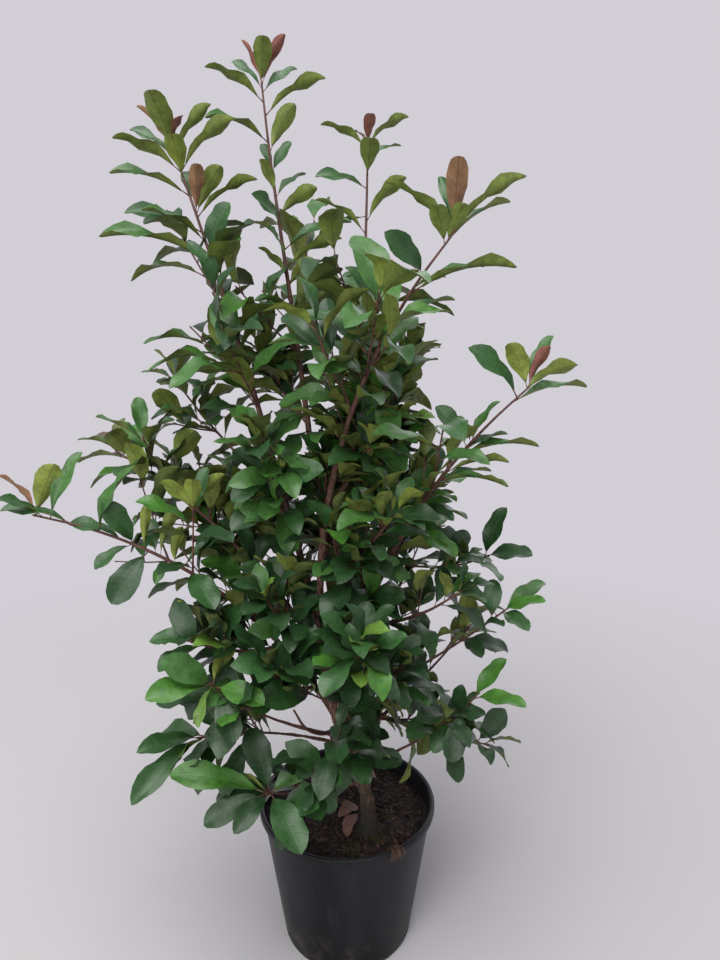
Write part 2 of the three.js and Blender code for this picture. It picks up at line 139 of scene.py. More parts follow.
class Surface(Recipe):
    """A material's recipe, with one Principled surface."""

    def __init__(self, name: str) -> None:
        """Makes the material."""
        self.material = bpy.data.materials.new(name)
        self.material.use_nodes = True
        super().__init__(self.material.node_tree)

    def finish(self, **inputs: object) -> Material:
        """Adds the surface itself.

        Args:
            inputs: the Principled shader's inputs, with _ for a space in their names.

        Returns:
            The finished material.
        """
        named = {name.replace("_", " "): value for name, value in inputs.items()}
        shader = self.add("ShaderNodeBsdfPrincipled", named)
        self.add("ShaderNodeOutputMaterial", {"Surface": shader.outputs["BSDF"]})
        return self.material

    def own(self) -> Socket:
        """Returns the piece's own coordinates."""
        return self.add("ShaderNodeTexCoord").outputs["Object"]

    def foot(self, low: float, high: float) -> Socket:
        """Returns a value that falls from 1 at a low height to 0 at a high one."""
        height = self.add("ShaderNodeSeparateXYZ", {0: self.own()}).outputs["Z"]
        return self.maths("SUBTRACT", 1.0, self.ramp(height, low, high))

    def pattern(self, pattern: Pattern) -> Socket:
        """Adds a cloudy pattern.

        Args:
            pattern: its size, detail and stretch.

        Returns:
            Its strength from 0 to 1.
        """
        stretch = {"Vector": self.own(), "Scale": (1, 1, pattern.along)}
        place = self.add("ShaderNodeMapping", stretch).outputs[0]
        inputs = {"Vector": place, "Scale": pattern.scale, "Detail": pattern.detail}
        cloud = self.add("ShaderNodeTexNoise", inputs).outputs["Fac"]
        whole = (pattern.low, pattern.high) == (0.0, 1.0)
        return cloud if whole else self.ramp(cloud, pattern.low, pattern.high)

    def ramp(self, value: Socket, low: float, high: float) -> Socket:
        """Returns a value that goes from 0 at low to 1 at high, and stays there."""
        inputs = {"Value": value, "From Min": low, "From Max": high}
        return self.add("ShaderNodeMapRange", inputs, clamp=True).outputs["Result"]

    def blend(self, share: object, first: object, second: object) -> Socket:
        """Blends two colours, each a socket or plain.

        Args:
            share: how much of the second, a socket or a number.
            first: the colour at 0.
            second: the colour at 1.

        Returns:
            The blended colour.
        """
        node = self.add("ShaderNodeMix", data_type="RGBA")
        shown = {(socket.name, socket.type): socket for socket in node.inputs}
        self.feed(shown["Factor", "VALUE"], share)
        for name, colour in (("A", first), ("B", second)):
            self.feed(shown[name, "RGBA"], (*colour, 1) if isinstance(colour, tuple) else colour)
        return next(socket for socket in node.outputs if socket.type == "RGBA")

    def relief(self, height: Socket, depth: float, strength: float) -> Socket:
        """Returns a surface normal that follows a height."""
        inputs = {"Height": height, "Distance": depth, "Strength": strength}
        return self.add("ShaderNodeBump", inputs).outputs["Normal"]


# ---- finishes


@dataclass(frozen=True)
class PlasticFinish:
    """Black moulded plastic: satin, a little dusty, scuffed towards its foot."""

    base: Colour = (0.0034, 0.0032, 0.0044)
    haze: Colour = (0.0100, 0.0095, 0.0120)
    worn: Colour = (0.034, 0.033, 0.037)
    dust: Colour = (0.115, 0.085, 0.066)
    wear: float = 0.22
    dusty: float = 0.55
    dust_top: float = 0.085
    rough: float = 0.32
    cloudy: float = 0.16
    scuffed: float = 0.12
    sheen: float = 0.23
    relief: Pair = (0.0002, 0.25)
    clouds: Pattern = Pattern(7, 5)
    scuffs: Pattern = Pattern(62, 6, 0.60, 0.74, 0.16)
    streaks: Pattern = Pattern(16, 3, 0.38, 0.64, 0.12)
    specks: Pattern = Pattern(38, 8, 0.50, 0.72)
    grain: Pattern = Pattern(900, 2)

    def material(self) -> Material:
        """Makes the finish.

        Returns:
            The material.
        """
        skin = Surface("black_plastic")
        scuffs = skin.pattern(self.scuffs)
        plain = skin.blend(skin.pattern(self.streaks), self.base, self.haze)
        worn = skin.blend(skin.maths("MULTIPLY", scuffs, self.wear), plain, self.worn)
        dusty = skin.maths("MULTIPLY", skin.foot(0.0, self.dust_top), skin.pattern(self.specks))
        colour = skin.blend(skin.maths("MULTIPLY", dusty, self.dusty), worn, self.dust)
        rough = skin.maths("MULTIPLY_ADD", skin.pattern(self.clouds), self.cloudy, self.rough)
        rough = skin.maths("ADD", rough, skin.maths("MULTIPLY", scuffs, self.scuffed))
        normal = skin.relief(skin.pattern(self.grain), *self.relief)
        looks = {"Base_Color": colour, "Roughness": rough, "Normal": normal}
        return skin.finish(Specular_IOR_Level=self.sheen, **looks)


@dataclass(frozen=True)
class EarthFinish:
    """Peat, bark or moss: rough, mottled between two colours."""

    name: str
    dark: Colour
    light: Colour
    scale: float
    rough: float = 0.92
    mottle: tuple[float, float, float] = (6, 0.36, 0.66)
    finer: float = 3
    finer_detail: float = 4
    relief: Pair = (0.002, 0.7)

    def material(self) -> Material:
        """Returns the finish as a material."""
        earth = Surface(self.name)
        colour = earth.blend(earth.pattern(Pattern(self.scale, *self.mottle)), self.dark, self.light)
        crumbs = earth.pattern(Pattern(self.finer * self.scale, self.finer_detail))
        normal = earth.relief(crumbs, *self.relief)
        return earth.finish(Base_Color=colour, Roughness=self.rough, Normal=normal)


@dataclass(frozen=True)
class BarkFinish:
    """Bark that goes from cracked brown on old wood to smooth red-brown on young wood, with painted
    shade low on the trunk.
    """

    old: Colour = (0.255, 0.142, 0.095)
    cracked: Colour = (0.060, 0.028, 0.018)
    young: Colour = (0.112, 0.042, 0.028)
    fresh: Colour = (0.044, 0.017, 0.014)
    moss: Colour = (0.015, 0.017, 0.007)
    # painted shade: the colour and share that darken the bark near the soil, where the crown shades the
    # trunk
    painted_shade: Colour = (0.0075, 0.0055, 0.0045)
    painted_shade_share: float = 0.9
    foot: Pair = (0.262, 0.385)
    ripe: Pair = (0.25, 0.62)
    patchy: float = 0.5
    rough: float = 0.86
    smoother: float = 0.28
    crack_end: float = 1.15
    relief: Pair = (0.0012, 0.8)
    cracks: Pattern = Pattern(520, 6, 0.42, 0.62, 0.22)
    streaks: Pattern = Pattern(210, 3, 0.35, 0.70, 0.3)
    patches: Pattern = Pattern(45, 3)
    mossy: Pattern = Pattern(70, 5, 0.38, 0.60)

    def material(self) -> Material:
        """Makes the finish, which reads the wood's age from 0 to 1.

        Returns:
            The material.
        """
        bark = Surface("bark")
        age = bark.add("ShaderNodeAttribute", attribute_name="age").outputs["Fac"]
        cracks = bark.pattern(self.cracks)
        old = bark.blend(cracks, self.cracked, self.old)
        young = bark.blend(bark.pattern(self.streaks), self.young, self.fresh)
        patches = bark.maths("MULTIPLY_ADD", bark.pattern(self.patches), self.patchy, -self.patchy / 2)
        colour = bark.blend(bark.ramp(bark.maths("ADD", age, patches), *self.ripe), old, young)
        # Painted shade: the bark darkens towards the trunk's foot, where the crown shades it; the moss
        # patches there are the bark's own.
        foot = bark.foot(*self.foot)
        colour = bark.blend(bark.maths("MULTIPLY", foot, self.painted_shade_share), colour, self.painted_shade)
        colour = bark.blend(bark.maths("MULTIPLY", foot, bark.pattern(self.mossy)), colour, self.moss)
        rough = bark.maths("MULTIPLY_ADD", age, -self.smoother, self.rough)
        depth = bark.maths("MULTIPLY", cracks, bark.maths("SUBTRACT", self.crack_end, age))
        normal = bark.relief(depth, *self.relief)
        return bark.finish(Base_Color=colour, Roughness=rough, Normal=normal)


class Side(IntEnum):
    """The sides of a leaf, each with a material of its own."""

    UPPER = 0
    UNDER = 1
    STALK = 2


def shade(base: Colour, share: float, lift: float = 0.0) -> Colour:
    """Returns a share of a colour, lifted towards white."""
    return tuple(share * value + lift for value in base)


@dataclass(frozen=True)
class LeafFinish:
    """One tint of leaf: a dark sheen above, dull olive below, with side veins that curve forward. The
    underside is lighter than its own olive, which paints light shining through the leaf.
    """

    name: str
    upper: Colour
    # the underside's own olive, made lighter to paint the light that shines through the leaf
    under: Colour
    rib: Colour
    stalk: Colour
    rough: float = 0.42
    slot: str = "foliage"
    sheen: float = 0.40
    dull: float = 0.55
    dull_sheen: float = 0.3
    stalk_rough: float = 0.5
    mottled: float = 0.22
    veins: float = 10
    vein_slant: float = 3.4
    vein_curve: float = 1.25
    vein_top: Pair = (0.70, 1.0)
    vein_share: float = 0.45
    vein_light: Pair = (1.22, 0.004)
    vein_depth: float = 0.5
    rib_width: Pair = (0.008, 0.020)
    rib_share: float = 0.8
    rib_light: Pair = (1.35, 0.006)
    speck_share: float = 0.5
    speck_light: Pair = (1.35, 0.012)
    pucker_depth: float = 0.8
    upper_relief: Pair = (0.0006, 0.35)
    under_relief: Pair = (0.0005, 0.4)
    mottle: Pattern = Pattern(90, 5, 0.36, 0.66)
    specks: Pattern = Pattern(520, 3, 0.56, 0.70)
    puckers: Pattern = Pattern(260, 2)

    def lines(self, leaf: Surface) -> tuple[Socket, Socket]:
        """Finds the veins on the leaf's own map.

        Args:
            leaf: the surface that is being built.

        Returns:
            Where the midrib runs, and where the side veins run.
        """
        across_along = leaf.add("ShaderNodeUVMap", uv_map="leaf_map").outputs["UV"]
        parts = leaf.add("ShaderNodeSeparateXYZ", {0: across_along}).outputs
        out = leaf.maths("ABSOLUTE", leaf.maths("SUBTRACT", parts["X"], 0.5))
        forward = leaf.maths("MULTIPLY", leaf.maths("POWER", out, self.vein_curve), -self.vein_slant)
        phase = leaf.maths("MULTIPLY_ADD", parts["Y"], self.veins, forward)
        wave = leaf.maths("SINE", leaf.maths("MULTIPLY", phase, math.tau))
        rib = leaf.maths("SUBTRACT", 1.0, leaf.ramp(out, *self.rib_width))
        return rib, leaf.ramp(wave, *self.vein_top)

    def face(self, side: Side) -> Material:
        """Makes the finish of one side of the leaf.

        Args:
            side: the upper or the under side.

        Returns:
            The material.
        """
        leaf = Surface(f"{self.name}_{side.name.lower()}")
        if side is Side.STALK:
            return leaf.finish(Base_Color=(*self.stalk, 1), Roughness=self.stalk_rough)
        rib, veins = self.lines(leaf)
        base = self.upper if side is Side.UPPER else self.under
        deep, pale = shade(base, 1 - self.mottled), shade(base, 1 + self.mottled)
        ground = leaf.blend(leaf.pattern(self.mottle), deep, pale)
        specks = leaf.maths("MULTIPLY", leaf.pattern(self.specks), self.speck_share)
        ground = leaf.blend(specks, ground, shade(base, *self.speck_light))
        veined = leaf.maths("MULTIPLY", veins, self.vein_share)
        colour = leaf.blend(veined, ground, shade(base, *self.vein_light))
        line = self.rib if side is Side.UNDER else shade(base, *self.rib_light)
        colour = leaf.blend(leaf.maths("MULTIPLY", rib, self.rib_share), colour, line)
        height = leaf.maths("MULTIPLY_ADD", veins, self.vein_depth, rib)
        rough, sheen, relief = self.dull, self.dull_sheen, self.under_relief
        if side is Side.UPPER:
            puckers = leaf.maths("MULTIPLY", leaf.pattern(self.puckers), self.pucker_depth)
            height = leaf.maths("SUBTRACT", puckers, height)
            rough, sheen, relief = self.rough, self.sheen, self.upper_relief
        looks = {"Base_Color": colour, "Roughness": rough, "Normal": leaf.relief(height, *relief)}
        return leaf.finish(Specular_IOR_Level=sheen, **looks)


class Tint(Enum):
    """The leaf tints, from the dark ones, which also paint shade low in the crown, to the red young
    ones.
    """

    # the darkest tint, dealt low in the crown to paint the shade there
    DARK = LeafFinish(
        "dark_leaf", (0.0115, 0.039, 0.0105), (0.096, 0.128, 0.034), (0.040, 0.032, 0.015),
        (0.10, 0.030, 0.028),
    )
    DEEP = LeafFinish(
        "deep_leaf", (0.0185, 0.062, 0.0145), (0.136, 0.168, 0.038), (0.055, 0.042, 0.018),
        (0.12, 0.035, 0.030),
    )
    GREEN = LeafFinish(
        "green_leaf", (0.032, 0.094, 0.018), (0.128, 0.166, 0.034), (0.070, 0.050, 0.022),
        (0.12, 0.045, 0.032),
    )
    BRIGHT = LeafFinish(
        "bright_leaf", (0.038, 0.122, 0.015), (0.150, 0.190, 0.038), (0.080, 0.070, 0.028),
        (0.12, 0.080, 0.036),
    )
    FRESH = LeafFinish(
        "fresh_leaf", (0.076, 0.150, 0.020), (0.165, 0.212, 0.036), (0.090, 0.060, 0.030),
        (0.18, 0.110, 0.040),
    )
    BRONZE = LeafFinish(
        "bronze_leaf", (0.072, 0.085, 0.026), (0.215, 0.118, 0.062), (0.085, 0.045, 0.030),
        (0.20, 0.045, 0.038), 0.6, "young_leaf",
    )
    RED = LeafFinish(
        "red_leaf", (0.072, 0.050, 0.030), (0.185, 0.070, 0.054), (0.110, 0.038, 0.032),
        (0.22, 0.040, 0.038), 0.6, "young_leaf",
    )
    DRY = LeafFinish(
        "dry_leaf", (0.108, 0.052, 0.042), (0.125, 0.066, 0.054), (0.130, 0.070, 0.055),
        (0.07, 0.038, 0.030), 0.7, "litter",
    )


DARK, DEEP, GREEN, BRIGHT, FRESH, BRONZE, RED, DRY = Tint


# ---- the rule of growth

MASK = 0xFFFFFFFF
STRIDE = 0x6D2B79F5
GOLDEN = 137.5
GOLDEN_SHARE = 0.618
UPRIGHT = 0.05
RISE = 2.1
DROOP = 0.75


def stream(seed: int) -> Draw:
    """Makes a repeatable stream of numbers.

    Args:
        seed: the stream's number.

    Returns:
        A function whose every call gives the next number from 0 to 1.
    """
    state = seed & MASK

    def draw() -> float:
        """Returns the next number."""
        nonlocal state
        state = (state + STRIDE) & MASK
        word = ((state ^ (state >> 15)) * (state | 1)) & MASK
        word ^= (word + (word ^ (word >> 7)) * (word | 61)) & MASK
        return (word ^ (word >> 14)) / (MASK + 1)

    return draw


def lerp(low: float, high: float, share: float) -> float:
    """Returns the value at a share of the way from low to high."""
    return low + (high - low) * share


def direction(azimuth: float, lean: float) -> Vector:
    """Returns the direction with this azimuth and lean from the vertical."""
    around, tilt = math.radians(azimuth), math.radians(lean)
    out = math.sin(tilt)
    return Vector((out * math.cos(around), out * math.sin(around), math.cos(tilt)))


def across(axis: Vector) -> tuple[Vector, Vector]:
    """Returns two directions square to an axis: one level, and one as upright as it can be."""
    side = axis.cross(UP)
    if side.length < UPRIGHT:
        side = axis.cross(Vector((0, 1, 0)))
    side.normalize()
    return side, side.cross(axis)


def opened(axis: Vector, around: float, open_by: float) -> Vector:
    """Returns the direction that opens from an axis by one angle, at another angle around it."""
    side, front = across(axis)
    turn, tilt = math.radians(around), math.radians(open_by)
    out = side * math.cos(turn) + front * math.sin(turn)
    return axis * math.cos(tilt) + out * math.sin(tilt)


def squared(face: Vector, heading: Vector) -> Vector:
    """Returns the direction nearest to a face that is square to a heading."""
    return (face - heading * face.dot(heading)).normalized()


def point_at(points: Path, share: float) -> tuple[Vector, Vector]:
    """Returns the point and the direction at a share of a path."""
    place = min(max(share, 0), 1) * (len(points) - 1)
    index = min(int(place), len(points) - 2)
    step = points[index + 1] - points[index]
    return points[index] + step * (place - index), step.normalized()


def arched(arch: float, share: float) -> float:
    """Returns the height of a leaf's midrib at a share of its length: it rises, then droops."""
    return arch * share * (RISE * (1 - share) - DROOP * share * share)


def smooth(points: Path, steps: int) -> Path:
    """Rounds a path off.

    Args:
        points: the path's corners.
        steps: how many short steps take the place of each straight one.

    Returns:
        A path through the same corners.
    """
    ends = [points[0] * 2 - points[1], *points, points[-1] * 2 - points[-2]]
    rounded = []
    for before, start, end, after in zip(ends, ends[1:], ends[2:], ends[3:]):
        for k in range(steps):
            t = k / steps
            pull = (end - before) * t + (before * 2 - start * 5 + end * 4 - after) * t**2
            rounded.append(start + (pull + (start * 3 - before - end * 3 + after) * t**3) / 2)
    return [*rounded, points[-1]]


@dataclass(frozen=True)
class Row:
    """One limb or shoot. It turns and leans evenly along its length.

    A side limb leaves its parent at the share at, in the direction azimuth and lean. One
    without them goes on from its parent's end. fork is a strong side twig: its share of the
    way, azimuth, lean and length.
    """

    on: str
    length: float
    turn: float
    bend: float
    at: float | None = None
    azimuth: float | None = None
    lean: float | None = None
    fork: tuple[float, float, float, float] | None = None


LIMBS = {
    "left_stem": Row("trunk", 635, -13, 1.5, 0.97, 175, 14),
    "middle_stem": Row("trunk", 640, -45, -6, 0.9, 118, 14),
    "right_stem": Row("trunk", 630, -50, 39, 0.8, 37, -25),
    "top_stem": Row("left_stem", 625, 16, -7, 0.14, 122, 16),
    "far_left_stem": Row("left_stem", 390, 4, 27, 0.085, 189, 19),
    "mid_left_stem": Row("left_stem", 365, -4, 30, 0.22, 173, 16),
    "far_right_stem": Row("right_stem", 490, -25, 40, 0.08, 10, -10),
    "upper_left_bough": Row("left_stem", 150, 12, -13, 0.86, 137, 65),
    "right_mid_bough": Row("middle_stem", 120, 12, -28, 0.71, 332, 120),
    "right_low_bough": Row("far_right_stem", 150, -12, -8, 0.3, 5, 62),
    "right_foot_bough": Row("far_right_stem", 130, -5, -14, 0.05, 350, 65),
    "left_low_bough": Row("far_left_stem", 145, 12, -13, 0.16, 203, 68),
    "left_foot_bough": Row("far_left_stem", 130, 11, 8, 0.1, 179, 71),
    "front_foot_bough": Row("right_stem", 90, 5, -12, 0.07, 213, 84),
    "back_left_bough": Row("top_stem", 150, 15, -15, 0.25, 110, 60),
    "back_right_bough": Row("middle_stem", 150, -10, -15, 0.35, 60, 60),
}

SHOOTS = {
    "left_leader": Row("left_stem", 480, 7, 4, fork=(0.46, 182, 38, 178)),
    "top_leader": Row("top_stem", 487, 85, -3),
    "middle_leader": Row("middle_stem", 480, -25, -7),
    "right_leader": Row("right_stem", 380, 0, 26),
    "far_right_spray": Row("far_right_stem", 280, -10, 17),
    "far_left_spray": Row("far_left_stem", 326, -2, 29, fork=(0.24, 300, 14, 110)),
    "mid_left_spray": Row("mid_left_stem", 264, -2, 15),
    "upper_left_spray": Row("upper_left_bough", 160, 12, -14),
    "right_mid_spray": Row("right_mid_bough", 123, 13, -28),
    "right_low_spray": Row("right_low_bough", 160, -16, -9),
    "right_foot_spray": Row("right_foot_bough", 130, -7, -14, fork=(0.12, 352, 112, 100)),
    "left_low_spray": Row("left_low_bough", 158, 15, -15),
    "left_foot_spray": Row("left_foot_bough", 135, 12, 9),
    "front_foot_spray": Row("front_foot_bough", 109, 9, -12),
    "back_left_spray": Row("back_left_bough", 150, 10, -15),
    "back_right_spray": Row("back_right_bough", 150, -10, -15),
    "back_low": Row("middle_stem", 260, 15, -24, 0.12, 95, 70),
    "back_foot": Row("far_right_stem", 270, -15, -24, 0.15, 40, 72),
    "front_heart": Row("right_stem", 180, 5, -40, 0.22, 262, 75),
    "left_heart": Row("far_left_stem", 180, 10, -35, 0.45, 240, 72),
    "right_heart": Row("right_stem", 180, -10, -35, 0.36, 325, 72),
    "front_high": Row("top_stem", 180, 5, -30, 0.62, 275, 55),
    "front_low": Row("right_stem", 190, 15, -45, 0.26, 238, 75),
    "front_mid": Row("right_stem", 190, -15, -45, 0.45, 300, 75),
    "front_crown": Row("middle_stem", 190, 5, -35, 0.5, 275, 62),
    "left_front": Row("left_stem", 200, 10, -30, 0.45, 230, 62),
    "left_back": Row("left_stem", 200, 5, -30, 0.6, 130, 58),
    "left_high": Row("left_stem", 190, -10, -28, 0.8, 255, 50),
    "top_back": Row("top_stem", 220, 5, -30, 0.45, 95, 58),
    "top_right": Row("top_stem", 210, 10, -30, 0.78, 340, 50),
    "top_left": Row("top_stem", 180, 10, -25, 0.92, 150, 48),
    "crown_right": Row("middle_stem", 200, 10, -25, 0.8, 300, 48),
    "crown_back": Row("middle_stem", 220, 0, -30, 0.62, 80, 56),
    "crown_high": Row("middle_stem", 210, 10, -22, 0.93, 20, 42),
    "right_back": Row("right_stem", 260, -10, -18, 0.88, 42, 48),
    "right_inner": Row("right_stem", 190, 10, -25, 0.7, 330, 58),
    "far_right_low": Row("far_right_stem", 180, 5, -30, 0.6, 335, 78),
    "far_right_back": Row("far_right_stem", 190, -10, -28, 0.8, 55, 60),
    "far_left_low": Row("far_left_stem", 160, -5, -30, 0.7, 215, 88),
    "far_left_back": Row("far_left_stem", 200, 10, -25, 0.85, 125, 62),
    "mid_left_back": Row("mid_left_stem", 190, 10, -25, 0.85, 115, 55),
}

FOLIAGE_NODES = tuple(f"{name}_foliage" for name in SHOOTS)


@dataclass(frozen=True)
class View:
    """The camera's place in millimetres, its downward pitch in degrees and its frame in pixels."""

    place: tuple[float, float, float] = (24, -1173, 1144)
    pitch: float = 12.8
    focal: float = 713
    frame: tuple[int, int] = (720, 960)

    def axes(self) -> tuple[Vector, Vector, Vector]:
        """Returns the directions to the frame's right, to its top and into it."""
        tilt = math.radians(self.pitch)
        up, ahead = (0, math.sin(tilt), math.cos(tilt)), (0, math.cos(tilt), -math.sin(tilt))
        return Vector((1, 0, 0)), Vector(up), Vector(ahead)

    def seen(self, point: Vector) -> Pair:
        """Finds where a point shows in the frame.

        Args:
            point: the point.

        Returns:
            Its place across from the left and down from the top.
        """
        right, up, ahead = self.axes()
        away = point - Vector(self.place)
        scale = self.focal / away.dot(ahead)
        wide, high = self.frame
        return wide / 2 + away.dot(right) * scale, high / 2 - away.dot(up) * scale

    def reach(self, root: Vector, shows: Pair, length: float, nearer: bool) -> Vector:
        """Finds the point that shows at a place in the frame and lies this far from a root.

        Args:
            root: the point that it is measured from.
            shows: the place in the frame, across and down.
            length: the distance from the root.
            nearer: whether it is the point on the camera's side.

        Returns:
            The point, or the nearest to it where none lies that far off.
        """
        right, up, ahead = self.axes()
        wide, high = self.frame
        ray = right * (shows[0] - wide / 2) - up * (shows[1] - high / 2) + ahead * self.focal
        ray.normalize()
        eye = Vector(self.place)
        abreast = eye + ray * ray.dot(root - eye)
        spare = math.sqrt(max(length**2 - (abreast - root).length ** 2, 0))
        return abreast - ray * spare if nearer else abreast + ray * spare


VIEW = View()


@dataclass(frozen=True)
class Tip:
    """A leading leaf, set by its tip.

    share is its place along the shoot, and across and down are where its tip shows in the view,
    in pixels. slim is its width as a share of its length, and faces is how far it turns its
    upper side to the view.
    """

    share: float
    across: float
    down: float
    length: float
    slim: float
    faces: float
    tint: Tint
    nearer: bool = True
